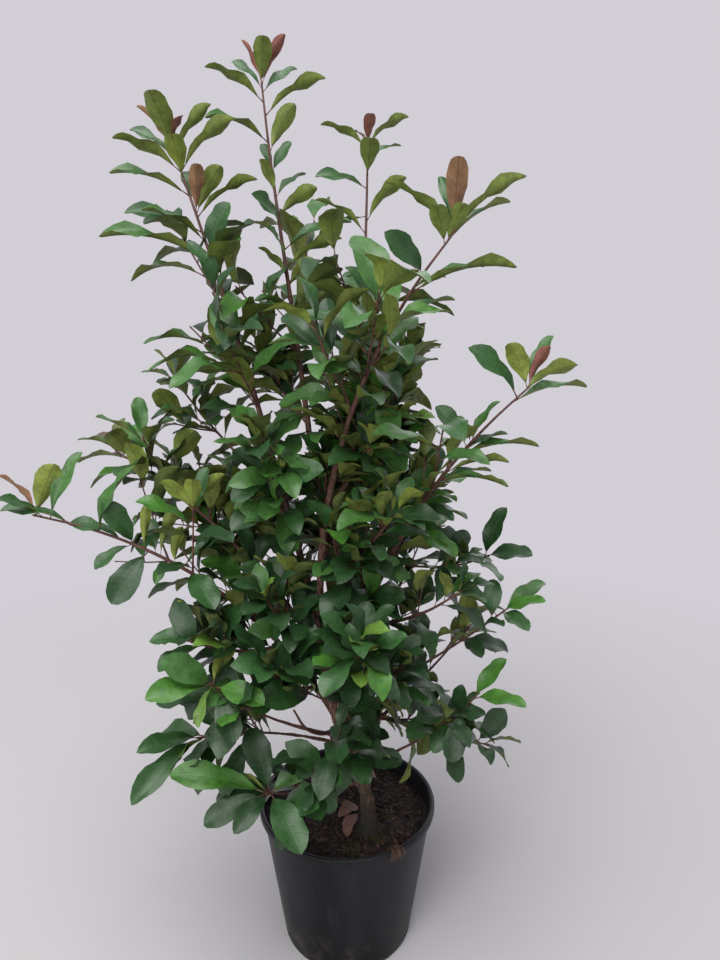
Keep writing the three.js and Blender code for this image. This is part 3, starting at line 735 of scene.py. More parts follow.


# The leading leaves low in the crown mostly take the dark tints, which paints the shade that falls on
# them.
TIPS = {
    "top_leader": (
        Tip(1, 263, 34, 75, 0.38, -0.8, GREEN), Tip(1, 284, 33, 80, 0.2, -0.5, RED),
        Tip(1, 243, 40, 70, 0.2, -0.5, RED, False), Tip(0.99, 232, 60, 60, 0.28, 0.6, DEEP, False),
        Tip(0.98, 297, 67, 70, 0.28, 0.7, DEEP, False), Tip(0.95, 205, 63, 108, 0.24, -0.3, GREEN),
        Tip(0.91, 325, 74, 110, 0.22, -0.2, GREEN, False), Tip(0.8, 294, 102, 82, 0.34, -0.7, GREEN),
        Tip(0.83, 206, 113, 115, 0.2, 0.2, GREEN), Tip(0.74, 262, 143, 50, 0.32, 0.7, DEEP, False),
        Tip(0.74, 293, 137, 55, 0.36, 0.8, DEEP), Tip(0.67, 261, 158, 60, 0.34, -0.4, GREEN),
        Tip(0.66, 305, 172, 70, 0.34, 0.3, DEEP, False), Tip(0.6, 322, 181, 78, 0.34, -0.7, GREEN),
        Tip(0.57, 254, 193, 85, 0.34, 0.8, DEEP), Tip(0.53, 246, 220, 75, 0.26, -0.4, GREEN, False),
        Tip(0.49, 364, 211, 122, 0.22, 0.5, DEEP), Tip(0.46, 268, 226, 66, 0.4, 0.5, GREEN),
        Tip(0.43, 349, 230, 105, 0.26, -0.4, GREEN, False), Tip(0.4, 259, 246, 70, 0.28, -0.3, GREEN),
        Tip(0.37, 318, 250, 62, 0.42, -0.7, GREEN),
    ),
    "left_leader": (
        Tip(1, 181, 114, 62, 0.3, 0.5, RED), Tip(1, 149, 88, 100, 0.36, -0.7, GREEN),
        Tip(0.99, 139, 105, 90, 0.2, -0.5, BRONZE, False), Tip(0.99, 209, 102, 95, 0.2, -0.3, GREEN),
        Tip(0.94, 233, 115, 120, 0.2, -0.3, GREEN), Tip(0.92, 171, 132, 76, 0.42, -0.8, FRESH),
        Tip(0.94, 112, 134, 115, 0.24, -0.5, GREEN), Tip(0.97, 130, 127, 85, 0.22, 0.5, DEEP, False),
        Tip(0.86, 109, 168, 120, 0.2, 0.2, GREEN), Tip(0.8, 197, 162, 84, 0.28, -0.6, BRONZE),
        Tip(0.8, 220, 164, 88, 0.32, -0.7, GREEN), Tip(0.79, 255, 176, 112, 0.18, -0.2, GREEN, False),
        Tip(0.84, 186, 170, 62, 0.36, 0.6, DEEP, False), Tip(0.68, 228, 203, 84, 0.44, 0.8, DEEP),
        Tip(0.71, 143, 206, 108, 0.26, 0.1, GREEN), Tip(0.74, 124, 209, 118, 0.22, 0.6, DEEP, False),
        Tip(0.64, 97, 229, 170, 0.1, 0.2, GREEN),
    ),
    "middle_leader": (
        Tip(1, 371, 112, 60, 0.32, 0.3, RED), Tip(1, 355, 130, 42, 0.24, -0.5, BRONZE, False),
        Tip(0.99, 321, 122, 88, 0.24, -0.4, GREEN), Tip(1, 407, 115, 84, 0.24, -0.4, GREEN, False),
        Tip(0.9, 371, 136, 76, 0.42, -0.8, GREEN), Tip(0.96, 401, 144, 60, 0.22, 0.5, DEEP, False),
        Tip(0.86, 316, 174, 92, 0.26, 0.6, DEEP), Tip(0.75, 405, 175, 100, 0.26, -0.4, GREEN),
        Tip(0.71, 317, 197, 100, 0.18, -0.2, GREEN), Tip(0.77, 317, 239, 90, 0.24, 0.6, DEEP),
        Tip(0.45, 328, 274, 85, 0.26, -0.1, GREEN), Tip(0.41, 323, 284, 88, 0.34, 0.9, DEEP),
    ),
    "right_leader": (
        Tip(1, 459, 154, 108, 0.27, -0.7, BRONZE), Tip(0.95, 436, 203, 66, 0.42, -0.7, GREEN),
        Tip(0.96, 465, 202, 62, 0.4, -0.7, GREEN), Tip(0.99, 388, 178, 115, 0.22, -0.3, GREEN),
        Tip(0.98, 524, 172, 125, 0.17, -0.2, GREEN), Tip(0.97, 509, 198, 105, 0.18, 0.2, DEEP, False),
        Tip(1, 440, 175, 84, 0.18, 0.5, DEEP, False), Tip(0.82, 387, 232, 92, 0.36, 0.9, DEEP),
        Tip(0.74, 530, 256, 150, 0.15, 0.1, GREEN), Tip(0.62, 470, 290, 92, 0.2, 0.5, DEEP, False),
        Tip(0.76, 455, 271, 48, 0.3, -0.3, GREEN), Tip(0.58, 346, 262, 108, 0.22, 0.4, DEEP),
    ),
    "far_left_spray": (
        Tip(1, 54, 463, 85, 0.42, -0.8, FRESH), Tip(0.94, 81, 449, 110, 0.24, 0.5, GREEN),
        Tip(1, 1, 474, 80, 0.3, -0.5, BRONZE, False), Tip(0.97, -2, 498, 75, 0.27, 0.4, DEEP),
        Tip(0.84, -2, 507, 100, 0.24, 0.3, DEEP, False), Tip(0.72, 130, 467, 120, 0.24, 0.5, GREEN),
        Tip(0.6, 69, 522, 85, 0.34, 0.3, DEEP, False), Tip(0.48, 111, 603, 95, 0.46, 0.9, DARK),
        Tip(0.56, 85, 573, 65, 0.34, 0.5, DEEP, False), Tip(0.55, 104, 502, 85, 0.42, 0.8, DEEP),
        Tip(0.26, 214, 607, 95, 0.44, 0.9, DEEP), Tip(0.5, 147, 504, 80, 0.2, -0.6, FRESH),
        Tip(0.42, 176, 506, 85, 0.22, -0.6, GREEN), Tip(0.44, 150, 518, 62, 0.36, 0.6, DEEP, False),
        Tip(0.34, 181, 526, 60, 0.34, -0.5, FRESH), Tip(0.3, 236, 528, 95, 0.22, 0.3, DEEP),
        Tip(0.38, 155, 583, 55, 0.3, 0.5, GREEN),
    ),
    "far_left_spray_fork": (
        Tip(1, 161, 480, 70, 0.46, -0.6, FRESH), Tip(0.98, 209, 459, 72, 0.34, 0.5, DEEP, False),
        Tip(1, 229, 465, 74, 0.28, -0.6, FRESH),
    ),
    "far_right_spray": (
        Tip(0.93, 471, 346, 105, 0.33, 0.6, DEEP), Tip(1, 510, 342, 75, 0.42, -0.8, FRESH),
        Tip(1, 552, 334, 90, 0.27, 0.3, GREEN, False), Tip(1, 549, 345, 70, 0.24, -0.5, RED),
        Tip(0.97, 577, 362, 90, 0.32, -0.5, BRIGHT), Tip(0.9, 587, 383, 115, 0.22, 0.3, GREEN, False),
        Tip(0.55, 433, 399, 78, 0.36, 0.6, DEEP), Tip(0.58, 458, 415, 50, 0.32, -0.4, GREEN),
        Tip(0.58, 499, 399, 76, 0.26, 0.3, GREEN, False), Tip(0.5, 510, 430, 76, 0.28, 0.3, DEEP),
        Tip(0.48, 544, 441, 120, 0.18, 0.2, GREEN), Tip(0.4, 445, 436, 66, 0.36, -0.6, GREEN, False),
        Tip(0.3, 508, 483, 112, 0.16, 0.2, GREEN), Tip(0.36, 530, 453, 98, 0.15, -0.3, GREEN),
        Tip(0.3, 497, 467, 82, 0.2, 0.3, DEEP, False), Tip(0.18, 456, 499, 75, 0.26, 0.4, GREEN),
        Tip(0.12, 453, 519, 72, 0.34, 0.8, DARK),
    ),
    "front_foot_spray": (
        Tip(1, 165, 771, 155, 0.27, 0.7, BRIGHT), Tip(0.97, 316, 757, 90, 0.42, 0.9, GREEN),
        Tip(0.93, 301, 852, 112, 0.44, 0.9, DEEP), Tip(1, 203, 824, 105, 0.35, 0.8, DARK),
        Tip(0.95, 234, 832, 84, 0.36, 0.8, DARK), Tip(0.93, 338, 773, 110, 0.24, -0.3, BRIGHT, False),
        Tip(0.97, 217, 768, 90, 0.32, -0.5, GREEN, False), Tip(0.95, 250, 728, 105, 0.42, 0.8, DARK),
    ),
    "left_low_spray": (
        Tip(1, 163, 660, 95, 0.44, 0.9, GREEN), Tip(1, 146, 697, 105, 0.36, 0.7, BRIGHT),
        Tip(0.95, 263, 703, 90, 0.44, 0.8, BRIGHT), Tip(1, 236, 637, 85, 0.34, -0.8, FRESH, False),
        Tip(1, 197, 727, 65, 0.26, -0.3, FRESH), Tip(0.9, 185, 715, 75, 0.46, 0.8, DARK, False),
        Tip(0.88, 233, 742, 85, 0.46, 0.9, DARK),
    ),
    "left_foot_spray": (
        Tip(1, 138, 750, 112, 0.28, 0.7, DEEP), Tip(0.97, 131, 802, 150, 0.25, 0.5, DEEP),
        Tip(0.9, 165, 775, 100, 0.28, -0.6, FRESH), Tip(0.92, 208, 764, 65, 0.46, 0.9, DEEP),
    ),
    "right_mid_spray": (
        Tip(0.97, 505, 508, 95, 0.36, 0.6, DARK), Tip(1, 531, 554, 90, 0.38, 0.8, DARK),
        Tip(0.85, 421, 531, 105, 0.34, 0.8, DEEP),
    ),
    "right_low_spray": (
        Tip(0.98, 528, 629, 75, 0.38, 0.8, DEEP), Tip(0.7, 503, 624, 75, 0.32, 0.6, DARK),
        Tip(0.5, 481, 656, 70, 0.4, 0.9, DARK), Tip(0.99, 545, 581, 92, 0.32, 0.6, GREEN, False),
        Tip(0.99, 544, 600, 84, 0.32, 0.7, BRIGHT), Tip(0.84, 494, 574, 66, 0.46, 0.8, DEEP, False),
        Tip(0.92, 455, 580, 84, 0.32, 0.5, DEEP),
    ),
    "right_foot_spray": (
        Tip(1, 505, 659, 85, 0.34, 0.7, BRIGHT), Tip(1, 525, 705, 100, 0.3, 0.7, BRIGHT),
        Tip(0.7, 462, 686, 65, 0.42, 0.8, DARK), Tip(0.8, 448, 771, 88, 0.42, 0.8, DARK),
        Tip(0.5, 433, 752, 65, 0.46, 0.9, DEEP),
    ),
}


@dataclass(frozen=True)
class Clearing:
    """A place kept free of all but leading leaves: its middle and its radius in the view, in pixels."""

    across: float
    down: float
    radius: float

    def covers(self, shows: Pair) -> bool:
        """Says whether it covers a place in the view."""
        return math.hypot(shows[0] - self.across, shows[1] - self.down) < self.radius


CLEARINGS = (
    Clearing(455, 665, 24), Clearing(440, 615, 16), Clearing(185, 300, 24),
    Clearing(382, 222, 22), Clearing(262, 262, 20), Clearing(440, 382, 22),
    Clearing(316, 722, 22), Clearing(288, 716, 14), Clearing(268, 108, 76),
    Clearing(148, 140, 60), Clearing(366, 150, 64), Clearing(462, 212, 66),
    Clearing(34, 498, 50), Clearing(66, 580, 44), Clearing(122, 610, 26),
    Clearing(538, 376, 62), Clearing(476, 358, 34),
)

# Dry leaves on the soil: each one's stalk end, tip and width, in millimetres.
FALLEN = (
    ((-22, -42, 249), (20, -8, 262), 27),
    ((26, -38, 263), (-5, -78, 251), 27),
    ((-84, 20, 248), (-50, 50, 258), 24),
    ((60, 70, 249), (22, 96, 256), 26),
)

@dataclass(frozen=True)
class GrowthRule:
    """The sizes that the limbs grow by, in millimetres and degrees, as in the solids."""

    step: float = 70
    fewest: int = 3
    rounding: int = 12
    least: float = 2.4
    gain: float = 0.0092
    taper: float = 0.6
    joint: float = 0.58
    widest_stem: float = 4.5
    collar: float = 0.3
    collar_length: float = 9
    stem_length: float = 300
    stem_age: float = 0.46
    bough_age: float = 0.5
    side_age: float = 0.22

    def girth(self, length: float) -> float:
        """Returns the radius at the foot of a limb of this length."""
        return self.least + self.gain * length

    def sweep(self, start: Vector, azimuth: float, lean: float, row: Row) -> Path:
        """Sweeps a path that turns and leans evenly.

        Args:
            start: its first point.
            azimuth: the way it heads at first.
            lean: its lean from upright at first.
            row: its length, turn and bend.

        Returns:
            The path's corners.
        """
        count = max(self.fewest, math.floor(row.length / self.step + 0.5))
        points = [start]
        for k in range(count):
            share = (k + 0.5) / count
            heading = direction(azimuth + row.turn * share, lean + row.bend * share)
            points.append(points[-1] + heading * (row.length / count))
        return points

    def limb(self, corners: Path, row: Row) -> "Wood":
        """Makes a stem or bough, with a collar where it leaves its parent.

        Args:
            corners: its path's corners.
            row: its sizes, and what it grows on.

        Returns:
            The limb's wood.
        """
        points = smooth(corners, self.rounding)
        shares = [k / (len(points) - 1) for k in range(len(points))]
        foot = self.girth(row.length)
        falls = [math.exp(-share * row.length / self.collar_length) for share in shares]
        radii = [
            lerp(foot, self.taper * foot, share) * (1 + self.collar * fall)
            for share, fall in zip(shares, falls)
        ]
        start = 0.0 if row.on == "trunk" else self.side_age
        end = self.stem_age if row.length > self.stem_length else self.bough_age
        return Wood(points, radii, [lerp(start, end, share) for share in shares])


@dataclass(frozen=True)
class Twig:
    """A twig: its path and length in millimetres, the seed of its leaves and its foot's radius."""

    points: Path
    length: float
    seed: int
    radius: float


@dataclass(frozen=True)
class TwigRule:
    """One generation of side twigs along a shoot."""

    pitch: float
    first: float
    span: float
    phase: float
    share: Pair
    vary: Pair
    limits: Pair
    radius: float
    seed: int
    open_by: float = 48
    rise: float = 0.3
    sag: float = 0.02
    scatter: float = 16

    def twigs(self, points: Path, length: float, seed: int) -> Iterator[Twig]:
        """Grows this generation along a path.

        Args:
            points: the shoot's path.
            length: the shoot's length.
            seed: the number that its draws start from.

        Yields:
            Each twig.
        """
        for k in range(math.floor(length / self.pitch + 0.5)):
            draw = stream(seed + self.seed + k)
            at = self.first + self.span * ((self.phase + k * GOLDEN_SHARE) % 1)
            start, axis = point_at(points, at)
            around = GOLDEN * k + 360 * draw()
            heading = opened(axis, around, self.open_by + self.scatter * (draw() - 0.5))
            share, vary = self.share[0] - self.share[1] * at, self.vary[0] + self.vary[1] * draw()
            reach = min(max(length * share * vary, self.limits[0]), self.limits[1])
            yield self.rising(start, heading, reach, seed + self.seed + 10 + k)

    def rising(self, start: Vector, heading: Vector, length: float, seed: int) -> Twig:
        """Returns a twig that lifts a little towards the light."""
        way = (heading + UP * self.rise).normalized()
        middle = start + way * (length / 2) - UP * (length * self.sag)
        return Twig([start, middle, start + way * length], length, seed, self.radius)


SIDE_TWIGS = TwigRule(130, 0.08, 0.6, 0.25, (0.55, 0.3), (0.8, 0.4), (60, 150), 1.7, 0)
FINE_TWIGS = TwigRule(62, 0.05, 0.84, 0.6, (0.30, 0.16), (0.7, 0.6), (34, 78), 1.25, 200)
THIN_TWIGS = TwigRule(80, 0.05, 0.6, 0.6, (0.34, 0.16), (0.7, 0.6), (34, 78), 1.25, 300)
LOW_TWIGS = TwigRule(150, 0.02, 0.36, 0.35, (0.30, 0.16), (0.7, 0.6), (40, 90), 1.25, 500)
SPUR_TWIGS = TwigRule(58, 0.3, 0.5, 0.4, (0.50, 0.2), (0.8, 0.4), (28, 52), 1.1, 400)


class Habit(Enum):
    """How a shoot fills out: the twigs on it, the twigs on those, and the leaves' spacing."""

    LEADER = ((SIDE_TWIGS, LOW_TWIGS), (), 16.5, 0.012)
    SPRAY = ((SIDE_TWIGS, THIN_TWIGS), (), 10.5, 0.012)
    HEART = ((SIDE_TWIGS, FINE_TWIGS), (SPUR_TWIGS,), 8.0, 0.014)

    def __init__(self, twigs: tuple, spurs: tuple, spacing: float, gain: float) -> None:
        """Keeps the habit's rules."""
        self.twigs, self.spurs, self.spacing, self.gain = twigs, spurs, spacing, gain


@dataclass
class Leaf:
    """One leaf in its place, in millimetres."""

    root: Vector
    heading: Vector
    face: Vector
    length: float
    width: float
    arch: float
    late: float
    tint: Tint = DEEP
    along: float = 1

    def at(self, share: float) -> Vector:
        """Returns the point at a share of the leaf's length."""
        rise = arched(self.arch, share)
        return self.root + (self.heading * share + self.face * rise) * self.length


@dataclass
class Wood:
    """A limb, shoot or twig as it is drawn: its path in millimetres, radii and ages."""

    points: Path
    radii: list[float]
    ages: list[float]


@dataclass
class Shoot:
    """A leafy shoot with the twigs that branch from it."""

    name: str
    row: Row
    seed: int
    points: Path
    foot: float
    habit: Habit
    twigs: list[Twig] = field(default_factory=list)


# The low shoots on the open side, whose leaves are larger than their length asks for.
LUSH = {"front_foot_spray": 1.55, "left_foot_spray": 1.4, "left_low_spray": 1.35, "left_heart": 1.25}


@dataclass(frozen=True)
class LeafRule:
    """How leaves stand along a twig: a golden-angle spiral that closes up to the bud."""

    fewest: int = 4
    bare: float = 0.1
    sunk: float = 4
    closing: float = 1.5
    open_by: float = 70
    shut: float = 20
    shutting: float = 3.2
    lift: float = 0.2
    along_axis: float = 0.55
    upwards: float = 0.75
    turn_scatter: float = 24
    open_scatter: float = 16
    roll_scatter: float = 0.7
    size_scatter: float = 0.30
    width_scatter: float = 0.2
    short: float = 54
    long_gain: float = 0.128
    end_size: float = 0.9
    middle_gain: float = 0.16
    middle: Pair = (0.25, 0.85)
    young: float = 0.84
    young_from: float = 0.85
    weak: float = 120
    strong_by: float = 300
    slender: float = 0.35
    broad: float = 0.46
    arch: float = 0.12
    arch_gain: float = 0.00022
    arch_scatter: float = 0.14

    def leaves(self, twig: Twig, shoot: Shoot) -> Iterator[Leaf]:
        """Sets leaves along a twig.

        Args:
            twig: the twig.
            shoot: the whole shoot, whose length its leaves' size follows.

        Yields:
            Each leaf, from the twig's foot to its bud.
        """
        draw = stream(twig.seed)
        phase, vigour = 360 * draw(), shoot.row.length
        spacing = shoot.habit.spacing + shoot.habit.gain * twig.length
        count = max(self.fewest, round(twig.length * (1 - self.bare) / spacing))
        reach = 1 - self.bare - self.sunk / twig.length
        stout = lerp(self.broad, self.slender, min(max((vigour - self.weak) / self.strong_by, 0), 1))
        for k in range(count):
            late = k / (count - 1)
            turn_by, open_by, roll_by, size_by, arch_by = (draw() - 0.5 for _ in range(5))
            along = self.bare + reach * (1 - (1 - late) ** self.closing)
            root, axis = point_at(twig.points, along)
            open_to = lerp(self.open_by, self.shut, late**self.shutting) + self.open_scatter * open_by
            heading = opened(axis, phase + k * GOLDEN + self.turn_scatter * turn_by, open_to)
            heading = (heading + UP * (self.lift * math.sin(math.radians(open_to)))).normalized()
            face = squared(axis * self.along_axis + UP * self.upwards, heading)
            face = Matrix.Rotation(self.roll_scatter * roll_by, 3, heading) @ face
            age = self.end_size + self.middle_gain * math.sin(math.pi * lerp(*self.middle, late))
            young = self.young if late > self.young_from else 1
            size = (self.short + self.long_gain * vigour) * age * young
            size *= 1 + self.size_scatter * size_by
            size *= LUSH.get(shoot.name, 1)
            width = size * stout * (1 + self.width_scatter * arch_by)
            arch = self.arch + self.arch_gain * vigour + self.arch_scatter * arch_by
            yield Leaf(root, heading, face, size, width, arch, late, along=along)


@dataclass(frozen=True)
class TintRule:
    """How the tints are dealt out. Heights are in millimetres and the rest are shares.

    Each of the last three holds the chances below which a leaf is dark, deep or green. The low band
    deals mostly dark leaves, which paints the shade that falls on the low crown.
    """

    strong: float = 250
    young_from: float = 0.82
    red_from: float = 0.94
    bronze: float = 0.45
    fresh_from: float = 0.8
    fresh_above: float = 600
    fresh_on_shoot: float = 0.22
    fresh_on_twig: float = 0.12
    low_top: float = 780
    middle_top: float = 1150
    # painted shade: the low band's many dark leaves stand in for the shade low in the crown
    low: Triple = (0.58, 0.87, 0.97)
    middle: Triple = (0.16, 0.50, 0.90)
    high: Triple = (0.16, 0.52, 0.95)

    def deal(self, leaf: Leaf, row: Row, main: bool, draw: Draw) -> Tint:
        """Deals a leaf its tint, by its place on the shoot and its height.

        Args:
            leaf: the leaf.
            row: its shoot's row.
            main: whether it stands on the shoot itself and not on a twig.
            draw: a stream of numbers.

        Returns:
            The tint.
        """
        height, chance = leaf.root.z, draw()
        if main and row.at is None and row.length > self.strong and leaf.late > self.young_from:
            return RED if leaf.late > self.red_from else BRONZE if chance < self.bronze else GREEN
        share = self.fresh_on_shoot if main else self.fresh_on_twig
        if leaf.late > self.fresh_from and height > self.fresh_above and chance < share:
            return FRESH
        bands = self.middle if height < self.middle_top else self.high
        # Painted shade: below this height most leaves get the dark tints.
        if height < self.low_top:
            bands = self.low
        chance = draw()
        return (DARK, DEEP, GREEN, BRIGHT)[sum(chance > band for band in bands)]


class Stretches:
    """Straight stretches of limbs or twigs, for the distances from a point to them."""

    def __init__(self, paths: list[Path], radii: list[float] | None = None) -> None:
        """Measures each straight stretch of some paths.

        Args:
            paths: each path's corners.
            radii: one radius for each path, or None for no thickness.
        """
        sized = zip(paths, radii or [0.0] * len(paths))
        pairs = [(a, b, r) for path, r in sized for a, b in zip(path, path[1:])]
        self.start = np.array([a[:] for a, _, _ in pairs])
        self.step = np.array([(b - a)[:] for a, b, _ in pairs])
        self.radius = np.array([r for _, _, r in pairs])
        self.square = (self.step**2).sum(1)

    def nearest(self, point: Vector) -> float:
        """Returns the distance from a point to the surface of the nearest stretch."""
        away = np.array(point[:]) - self.start
        share = np.clip((away * self.step).sum(1) / self.square, 0, 1)
        gaps = np.linalg.norm(away - share[:, None] * self.step, axis=1) - self.radius
        return float(gaps.min())


@dataclass
class Plant:
    """The shrub's limbs, shoots, twigs and leaves, grown by the solids' rule."""

    trunk_start: tuple[float, float, float] = (40, -54, 243.3)
    trunk_azimuth: float = 200
    trunk_bend: float = 8
    trunk_length: float = 80
    trunk_steps: int = 8
    trunk_foot: float = 14
    trunk_fork: float = 12
    flare: float = 14
    flare_fall: float = 10
    rule: GrowthRule = GrowthRule()
    leaf_rule: LeafRule = LeafRule()
    tint_rule: TintRule = TintRule()
    give: float = 1.35
    slack: float = 12
    limb_gap: float = 3.5
    leaf_gap: float = 7
    open_above: float = 980
    leader: float = 270
    soil_top: float = 247
    rim_top: float = 271
    rim: Pair = (148, 168)
    twig_checks: tuple[float, ...] = (0.35, 0.6, 0.8, 1)
    leaf_checks: tuple[float, ...] = (0.3, 0.5, 0.75, 1)
    leaf_marks: Pair = (0.5, 0.75)
    led_arch: float = 0.16
    led_droop: float = 0.048
    fallen_arch: float = 0.29
    fallen_roll: float = 0.3

    def __post_init__(self) -> None:
        """Grows everything."""
        self.paths: dict[str, Path] = {}
        self.ends: dict[str, Pair] = {}
        self.shoots: list[Shoot] = []
        self.leaves: list[Leaf] = []
        self.taken: Path = []
        self.grow_trunk()
        self.limbs = {name: self.rule.limb(self.lay(name, row), row) for name, row in LIMBS.items()}
        girths = [self.rule.girth(row.length) for row in LIMBS.values()]
        self.wood = Stretches([self.paths[name] for name in LIMBS], girths)
        for index, (name, row) in enumerate(SHOOTS.items()):
            self.grow_shoot(name, row, 1000 * (index + 1))
        for shoot in self.shoots:
            self.grow_twigs(shoot)
        for name, tips in TIPS.items():
            for tip in tips:
                self.keep(self.leading(self.paths[name], tip))
        for shoot in self.shoots:
            self.grow_leaves(shoot)
        self.leaves += [self.fallen(Vector(root), Vector(tip), width) for root, tip, width in FALLEN]

    def grow_trunk(self) -> None:
        """Lays the trunk's path, from the soil to the fork."""
        points = [Vector(self.trunk_start)]
        step = self.trunk_length / self.trunk_steps
        for k in range(self.trunk_steps):
            lean = self.trunk_bend * (k + 0.5) / self.trunk_steps
            points.append(points[-1] + direction(self.trunk_azimuth, lean) * step)
        self.paths["trunk"] = points
        self.ends["trunk"] = (self.trunk_azimuth, self.trunk_bend)

    def lay(self, name: str, row: Row) -> Path:
        """Lays a limb's or shoot's path, from its parent's side or on from its parent's end.

        Args:
            name: its name.
            row: its sizes, and what it grows on.

        Returns:
            The path's corners.
        """
        end_azimuth, end_lean = self.ends[row.on]
        start, _ = point_at(self.paths[row.on], 1 if row.at is None else row.at)
        azimuth = end_azimuth if row.azimuth is None else row.azimuth
        lean = end_lean if row.lean is None else row.lean
        self.paths[name] = self.rule.sweep(start, azimuth, lean, row)
        self.ends[name] = (azimuth + row.turn, lean + row.bend)
        return self.paths[name]

    def grow_shoot(self, name: str, row: Row, seed: int) -> None:
        """Starts a shoot with its path and the radius of its foot.

        Args:
            name: the shoot's name.
            row: its sizes, and what it grows on.
            seed: the number that its draws start from.
        """
        points = self.lay(name, row)
        most = self.rule.widest_stem
        if row.at is None:
            most = self.rule.joint * self.rule.girth(LIMBS[row.on].length)
        habit = Habit.HEART
        if row.at is None or points[0].z > self.open_above:
            habit = Habit.LEADER if row.length > self.leader else Habit.SPRAY
        foot = min(self.rule.girth(row.length), most)
        self.shoots.append(Shoot(name, row, seed, points, foot, habit))

    def grow_twigs(self, shoot: Shoot) -> None:
        """Adds a shoot's twigs, from the strong to the fine, clear of the limbs.

        Args:
            shoot: the shoot.
        """
        row, seed = shoot.row, shoot.seed
        if row.fork:
            at, azimuth, lean, length = row.fork
            start, _ = point_at(shoot.points, at)
            fork = SIDE_TWIGS.rising(start, direction(azimuth, lean), length, seed + 90)
            shoot.twigs.append(fork)
            self.paths[f"{shoot.name}_fork"] = fork.points
        for rule in shoot.habit.twigs:
            shoot.twigs += rule.twigs(shoot.points, row.length, seed)
        for twig in list(shoot.twigs):
            for rule in shoot.habit.spurs:
                shoot.twigs += rule.twigs(twig.points, twig.length, twig.seed)
        shoot.twigs = [twig for twig in shoot.twigs if self.free(twig.points)]

    def free(self, path: Path) -> bool:
        """Says whether a twig's outer half keeps clear of the limbs and of the pot."""
        outer = [point_at(path, share)[0] for share in self.twig_checks]
        return all(self.wood.nearest(point) > self.limb_gap and not self.shut(point) for point in outer)

    def shut(self, point: Vector) -> bool:
        """Says whether a point lies in the pot or in a clearing."""
        shows = VIEW.seen(point)
        return self.in_pot(point) or any(clearing.covers(shows) for clearing in CLEARINGS)

    def in_pot(self, point: Vector) -> bool:
        """Says whether a point lies in the soil or in the pot's rim."""
        out = math.hypot(point.x, point.y)
        low, high = self.rim
        return (out < low and point.z < self.soil_top) or (low <= out < high and point.z < self.rim_top)

    def grow_leaves(self, shoot: Shoot) -> None:
        """Adds leaves that keep to their shoot's own space, clear of limbs and other leaves.

        Args:
            shoot: the shoot.
        """
        own = Stretches([shoot.points, *(twig.points for twig in shoot.twigs)])
        rivals = Stretches([other.points for other in self.shoots if other is not shoot])
        main = Twig(shoot.points, shoot.row.length, shoot.seed + 50, shoot.foot)
        led = min((tip.share for tip in TIPS.get(shoot.name, ())), default=1)
        for twig in (main, *shoot.twigs):
            for leaf in self.leaf_rule.leaves(twig, shoot):
                if (twig is not main or leaf.along <= led) and self.fits(leaf, own, rivals):
                    draw = stream(twig.seed + 7 * len(self.leaves))
                    leaf.tint = self.tint_rule.deal(leaf, shoot.row, twig is main, draw)
                    self.keep(leaf)

    def keep(self, leaf: Leaf) -> None:
        """Keeps a leaf and marks its place as taken."""
        self.leaves.append(leaf)
        self.taken.extend(leaf.at(share) for share in self.leaf_marks)

    def leading(self, points: Path, tip: Tip) -> Leaf:
        """Sets one leading leaf on a path, with its tip where the view shows it.

        Args:
            points: the path that it grows on.
            tip: where and how it shows.

        Returns:
            The leaf.
        """
        root, _ = point_at(points, tip.share)
        aim = VIEW.reach(root, (tip.across, tip.down), tip.length, tip.nearer)
        toward = (Vector(VIEW.place) - root).normalized()
        face = toward * tip.faces + UP * math.sqrt(1 - tip.faces**2)
        for droop in (0, self.led_droop):
            heading = (aim + face * (droop * tip.length) - root).normalized()
            face = squared(face, heading)
        wide = tip.length * tip.slim
        return Leaf(root, heading, face, tip.length, wide, self.led_arch, tip.share, tip.tint)

    def fallen(self, root: Vector, tip: Vector, width: float) -> Leaf:
        """Returns a dry leaf that lies on the soil, a little on its side."""
        way = tip - root
        face = (UP - way * (UP.dot(way) / way.length_squared)).normalized()
        face = Matrix.Rotation(self.fallen_roll, 3, way.normalized()) @ face
        return Leaf(root, way.normalized(), face, way.length, width, self.fallen_arch, 1, DRY)

    def fits(self, leaf: Leaf, own: Stretches, rivals: Stretches) -> bool:
        """Says whether a leaf has room.

        Args:
            leaf: the leaf.
            own: the twigs of its own shoot.
            rivals: the other shoots.

        Returns:
            True if the leaf may stay.
        """
        samples = [leaf.at(share) for share in self.leaf_checks]
        for point in samples[1::2]:
            if own.nearest(point) > self.give * rivals.nearest(point) + self.slack:
                return False
        if any(self.shut(point) or self.wood.nearest(point) < self.limb_gap for point in samples):
            return False
        places = np.array([point[:] for point in self.taken])
        marks = [np.array(leaf.at(share)[:]) for share in self.leaf_marks]
        return all(np.linalg.norm(places - mark, axis=1).min() >= self.leaf_gap for mark in marks)


# ---- meshes


def piece(name: str, mesh: Mesh) -> Object:
    """Puts a mesh in the scene as an object of its own."""
    mesh.name = name
    made = bpy.data.objects.new(name, mesh)
    bpy.context.scene.collection.objects.link(made)
    return made


def plain_mesh(name: str, points: list, faces: list, edges: list | None = None) -> Mesh:
    """Returns a mesh of these points, edges and faces."""
    mesh = bpy.data.meshes.new(name)
    mesh.from_pydata([tuple(point) for point in points], edges or [], faces)
    mesh.update()
    return mesh


def attribute(mesh: Mesh, name: str, kind: str, domain: str, values: list) -> None:
    """Writes an attribute on a mesh."""
    layer = mesh.attributes.new(name, kind, domain)
    field_name = "vector" if kind == "FLOAT_VECTOR" else "value"
    layer.data.foreach_set(field_name, np.array(values).ravel())


def formed(name: str, form: bmesh.types.BMesh) -> Mesh:
    """Returns a form as a mesh, and frees it."""
    mesh = bpy.data.meshes.new(name)
    form.to_mesh(mesh)
    form.free()
    return mesh


